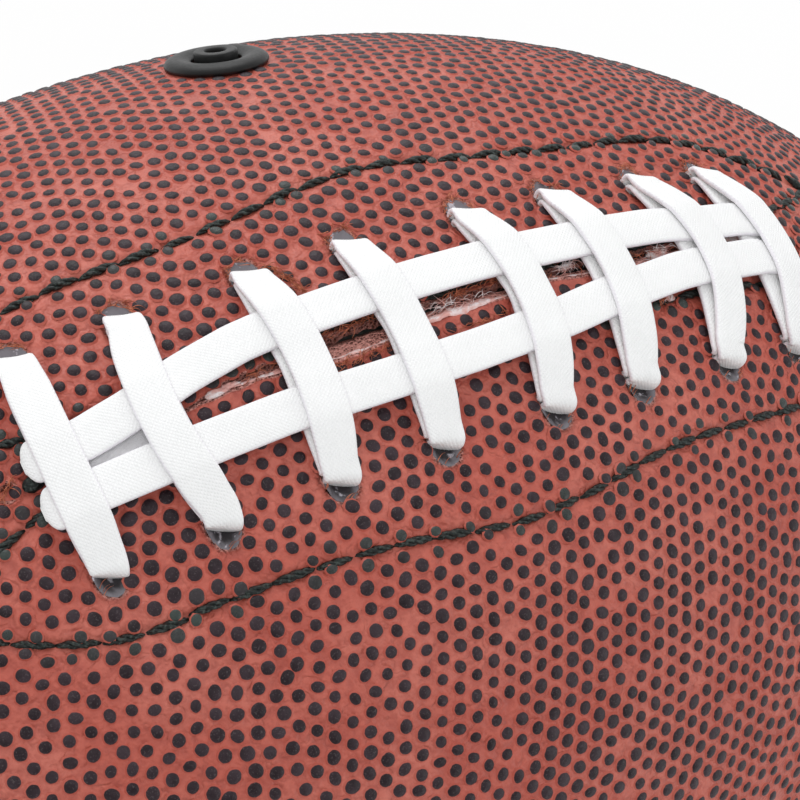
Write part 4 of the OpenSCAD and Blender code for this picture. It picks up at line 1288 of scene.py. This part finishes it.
def tongueStrip(name):  # a closed slab that curves with the ball
    s = np.linspace(-trim["tongueLength"] / 2, trim["tongueLength"] / 2, 60)
    d = np.linspace(-trim["tongueAcross"] / 2, trim["tongueAcross"] / 2, 21)
    loop = [(across, trim["tongueTop"]) for across in d]
    loop += [(across, trim["tongueTop"] - trim["tongueThick"]) for across in d[::-1]]
    sides, count = len(loop), len(s)
    rows = []
    for across, h in loop:
        wide = np.full(count, across)
        rows.append(laidPoint(s, wide, h + 0.12 * wander2(s, wide, 8, 9)))
    faces = gridFaces(count, sides, True, 0, (0, 3, 2, 1))
    faces += [list(range(sides)), [(count - 1) * sides + j for j in range(sides)][::-1]]
    return addMesh(name, np.stack(rows, 1).reshape(-1, 3), faces, tongueFinish)


settle(slitFilm("slit_film"), "lining_cloth")
settle(blobs("slit_lumps", trim["lumps"], filmFinish, 3), "lining_cloth")
settle(blobs("thread_knots", trim["knots"], threadFinish, 4), "black_thread")
settle(holeFilms("hole_films"), "panel_leather")
settle(fibres("frayed_fibres"), "panel_leather")
settle(strandRow("white_fuzz", rowSpots(trim["white"], np.random.default_rng(8)), filmFinish, 18), "lining_cloth")
settle(endHole("end_hole_rim"), "panel_leather")
settle(tongueStrip("tongue_strip"), "tongue_leather", "tongue")

# the valve: a domed collar, a narrow groove and the stem's raised hub with its needle hole
print("football: turning the valve")
valve = {
    "sides": 96,
    # profiles of [radius, height above the leather's form]
    "collar": [(3.78, -2.2), (3.74, -0.9), (3.74, 0.30), (3.84, 0.52), (4.2, 0.72), (4.8, 0.94), (5.4, 1.10),
               (6.1, 1.14), (6.9, 0.98), (7.5, 0.64), (7.86, 0.20), (7.86, -0.22), (7.6, -0.48), (7.0, -0.60),
               (5.6, -0.70), (5.5, -2.2)],
    "stem": [(3.32, -2.6), (3.32, 1.40), (3.26, 1.70), (3.04, 1.84), (2.0, 1.84), (1.72, 1.76), (1.54, 1.50),
             (1.48, 0.9), (1.40, 0.0), (1.40, -7.4)],
}


def turned(name, profile):  # a profile turned about the valve's axis
    lean, count = math.radians(ball["valveAngle"]), valve["sides"]
    axis, side = np.array([0, math.sin(lean), math.cos(lean)]), np.array([1.0, 0, 0])
    other = np.cross(axis, side)
    centre = np.array([0, 0, halfAcross]) + axis * halfAcross
    turns = np.arange(count)[:, None] * 2 * math.pi / count
    outward = np.cos(turns) * side + np.sin(turns) * other
    rings = [centre + axis * h + r * outward for r, h in rounded(profile, 2)[::-1]]
    return addMesh(name, np.concatenate(rings), gridFaces(len(rings), count, True), valveFinish)


settle(turned("valve_collar_form", valve["collar"]), "valve_rubber", "valve_collar")
settle(turned("valve_stem_form", valve["stem"]), "valve_rubber", "valve_stem")

# the pieces that stay as the frame has them
carried = {
    clothFinish: ("lining_lace_near", "lining_lace_valve", "lining_back_near", "lining_back_far"),
    threadFinish: ("seam_thread_lace", "seam_thread_near", "seam_thread_back", "seam_thread_far"),
    facingFinish: ("facing_near", "facing_far"),
    bladderFinish: ("bladder", "valve_patch"),
    plugFinish: ("valve_plug",),
}
for finish, nodes in carried.items():
    for node in nodes:
        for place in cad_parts[node].material_slots:
            place.material = finish


# floor, light and camera
print("football: setting the stage")
studio = {
    "floor": 6000, "floorShare": 0.93, "floorTone": 0.92, "soft": 0.58, "softBack": 0.36, "softUp": 0.10,
    "lamps": {
        "front": {"at": (-0.55, -0.35, 1.10), "size": 0.9, "power": 3.7, "mirrored": False},
        "back": {"at": (0.20, 1.20, 0.75), "size": 1.2, "power": 7.0, "mirrored": True},
        "fill": {"at": (0.75, -0.75, 0.6), "size": 1.0, "power": 3.0, "mirrored": True},
    },
    "camera": {"at": (-0.153814, -0.099093, 0.415326), "turn": (29.4063, -18.8267, -27.4289), "lens": 104.32},
}


def floorFinish():  # a white floor that takes soft shadows and looks nearly as bright as the sky
    f = Finish("floor_white")
    rays = f.node("ShaderNodeLightPath")
    seen = Wire(f, rays.outputs["Is Camera Ray"]) + Wire(f, rays.outputs["Is Glossy Ray"])
    base = f.make("ShaderNodeBsdfDiffuse", None, {"Color": (studio["floorTone"],) * 3})
    glow = f.make("ShaderNodeEmission", None, {"Color": (1.0, 1.0, 1.0), "Strength": 1.0})
    f.surface(f.make("ShaderNodeMixShader", None, [seen.clamped() * studio["floorShare"], base, glow]))
    return f.material


def studioWorld():  # soft light, brighter from the valve's side, and white where the camera sees it
    world = bpy.data.worlds.new("studio")
    bpy.context.scene.world = world
    world.use_nodes = True
    b = Board(world.node_tree)
    _, back, up = b.parts(b.make("ShaderNodeTexCoord", output="Generated"))
    level = (back * studio["softBack"] + up * studio["softUp"] + studio["soft"]).clamped(0.05, 1.0)
    soft = b.make("ShaderNodeBackground", None, {"Color": (0.98, 0.99, 1.0), "Strength": level})
    white = b.make("ShaderNodeBackground", None, {"Color": (1.0, 1.0, 1.0)})
    seen = b.make("ShaderNodeLightPath", output="Is Camera Ray")
    mixed = b.make("ShaderNodeMixShader", None, [seen, soft, white])
    b.node("ShaderNodeOutputWorld", None, {"Surface": mixed})


def lampAt(name, at, size, power, mirrored):
    light = bpy.data.lights.new(name, "AREA")
    light.shape = "DISK"
    light.size = size
    light.energy = power
    piece = placed(name, light)
    piece.location = at
    piece.visible_glossy = mirrored
    piece.rotation_euler = (Vector((0, 0, 0.12)) - piece.location).to_track_quat("-Z", "Y").to_euler()


def cameraAt(at, turn, lens):
    camera = bpy.data.cameras.new("camera")
    camera.lens = lens
    camera.sensor_width = 36
    camera.clip_start = 0.01
    piece = placed("camera", camera)
    piece.location = at
    piece.rotation_euler = Euler([math.radians(angle) for angle in turn])
    bpy.context.scene.camera = piece


corners = [(x * studio["floor"], y * studio["floor"], 0) for x, y in ((-1, -1), (1, -1), (1, 1), (-1, 1))]
floor = addMesh("floor", corners, [[0, 1, 2, 3]], floorFinish())
studioWorld()
for name, lamp in studio["lamps"].items():
    lampAt(name, **lamp)
cameraAt(**studio["camera"])
bpy.context.scene.view_settings.view_transform = "Standard"

print("football: done")
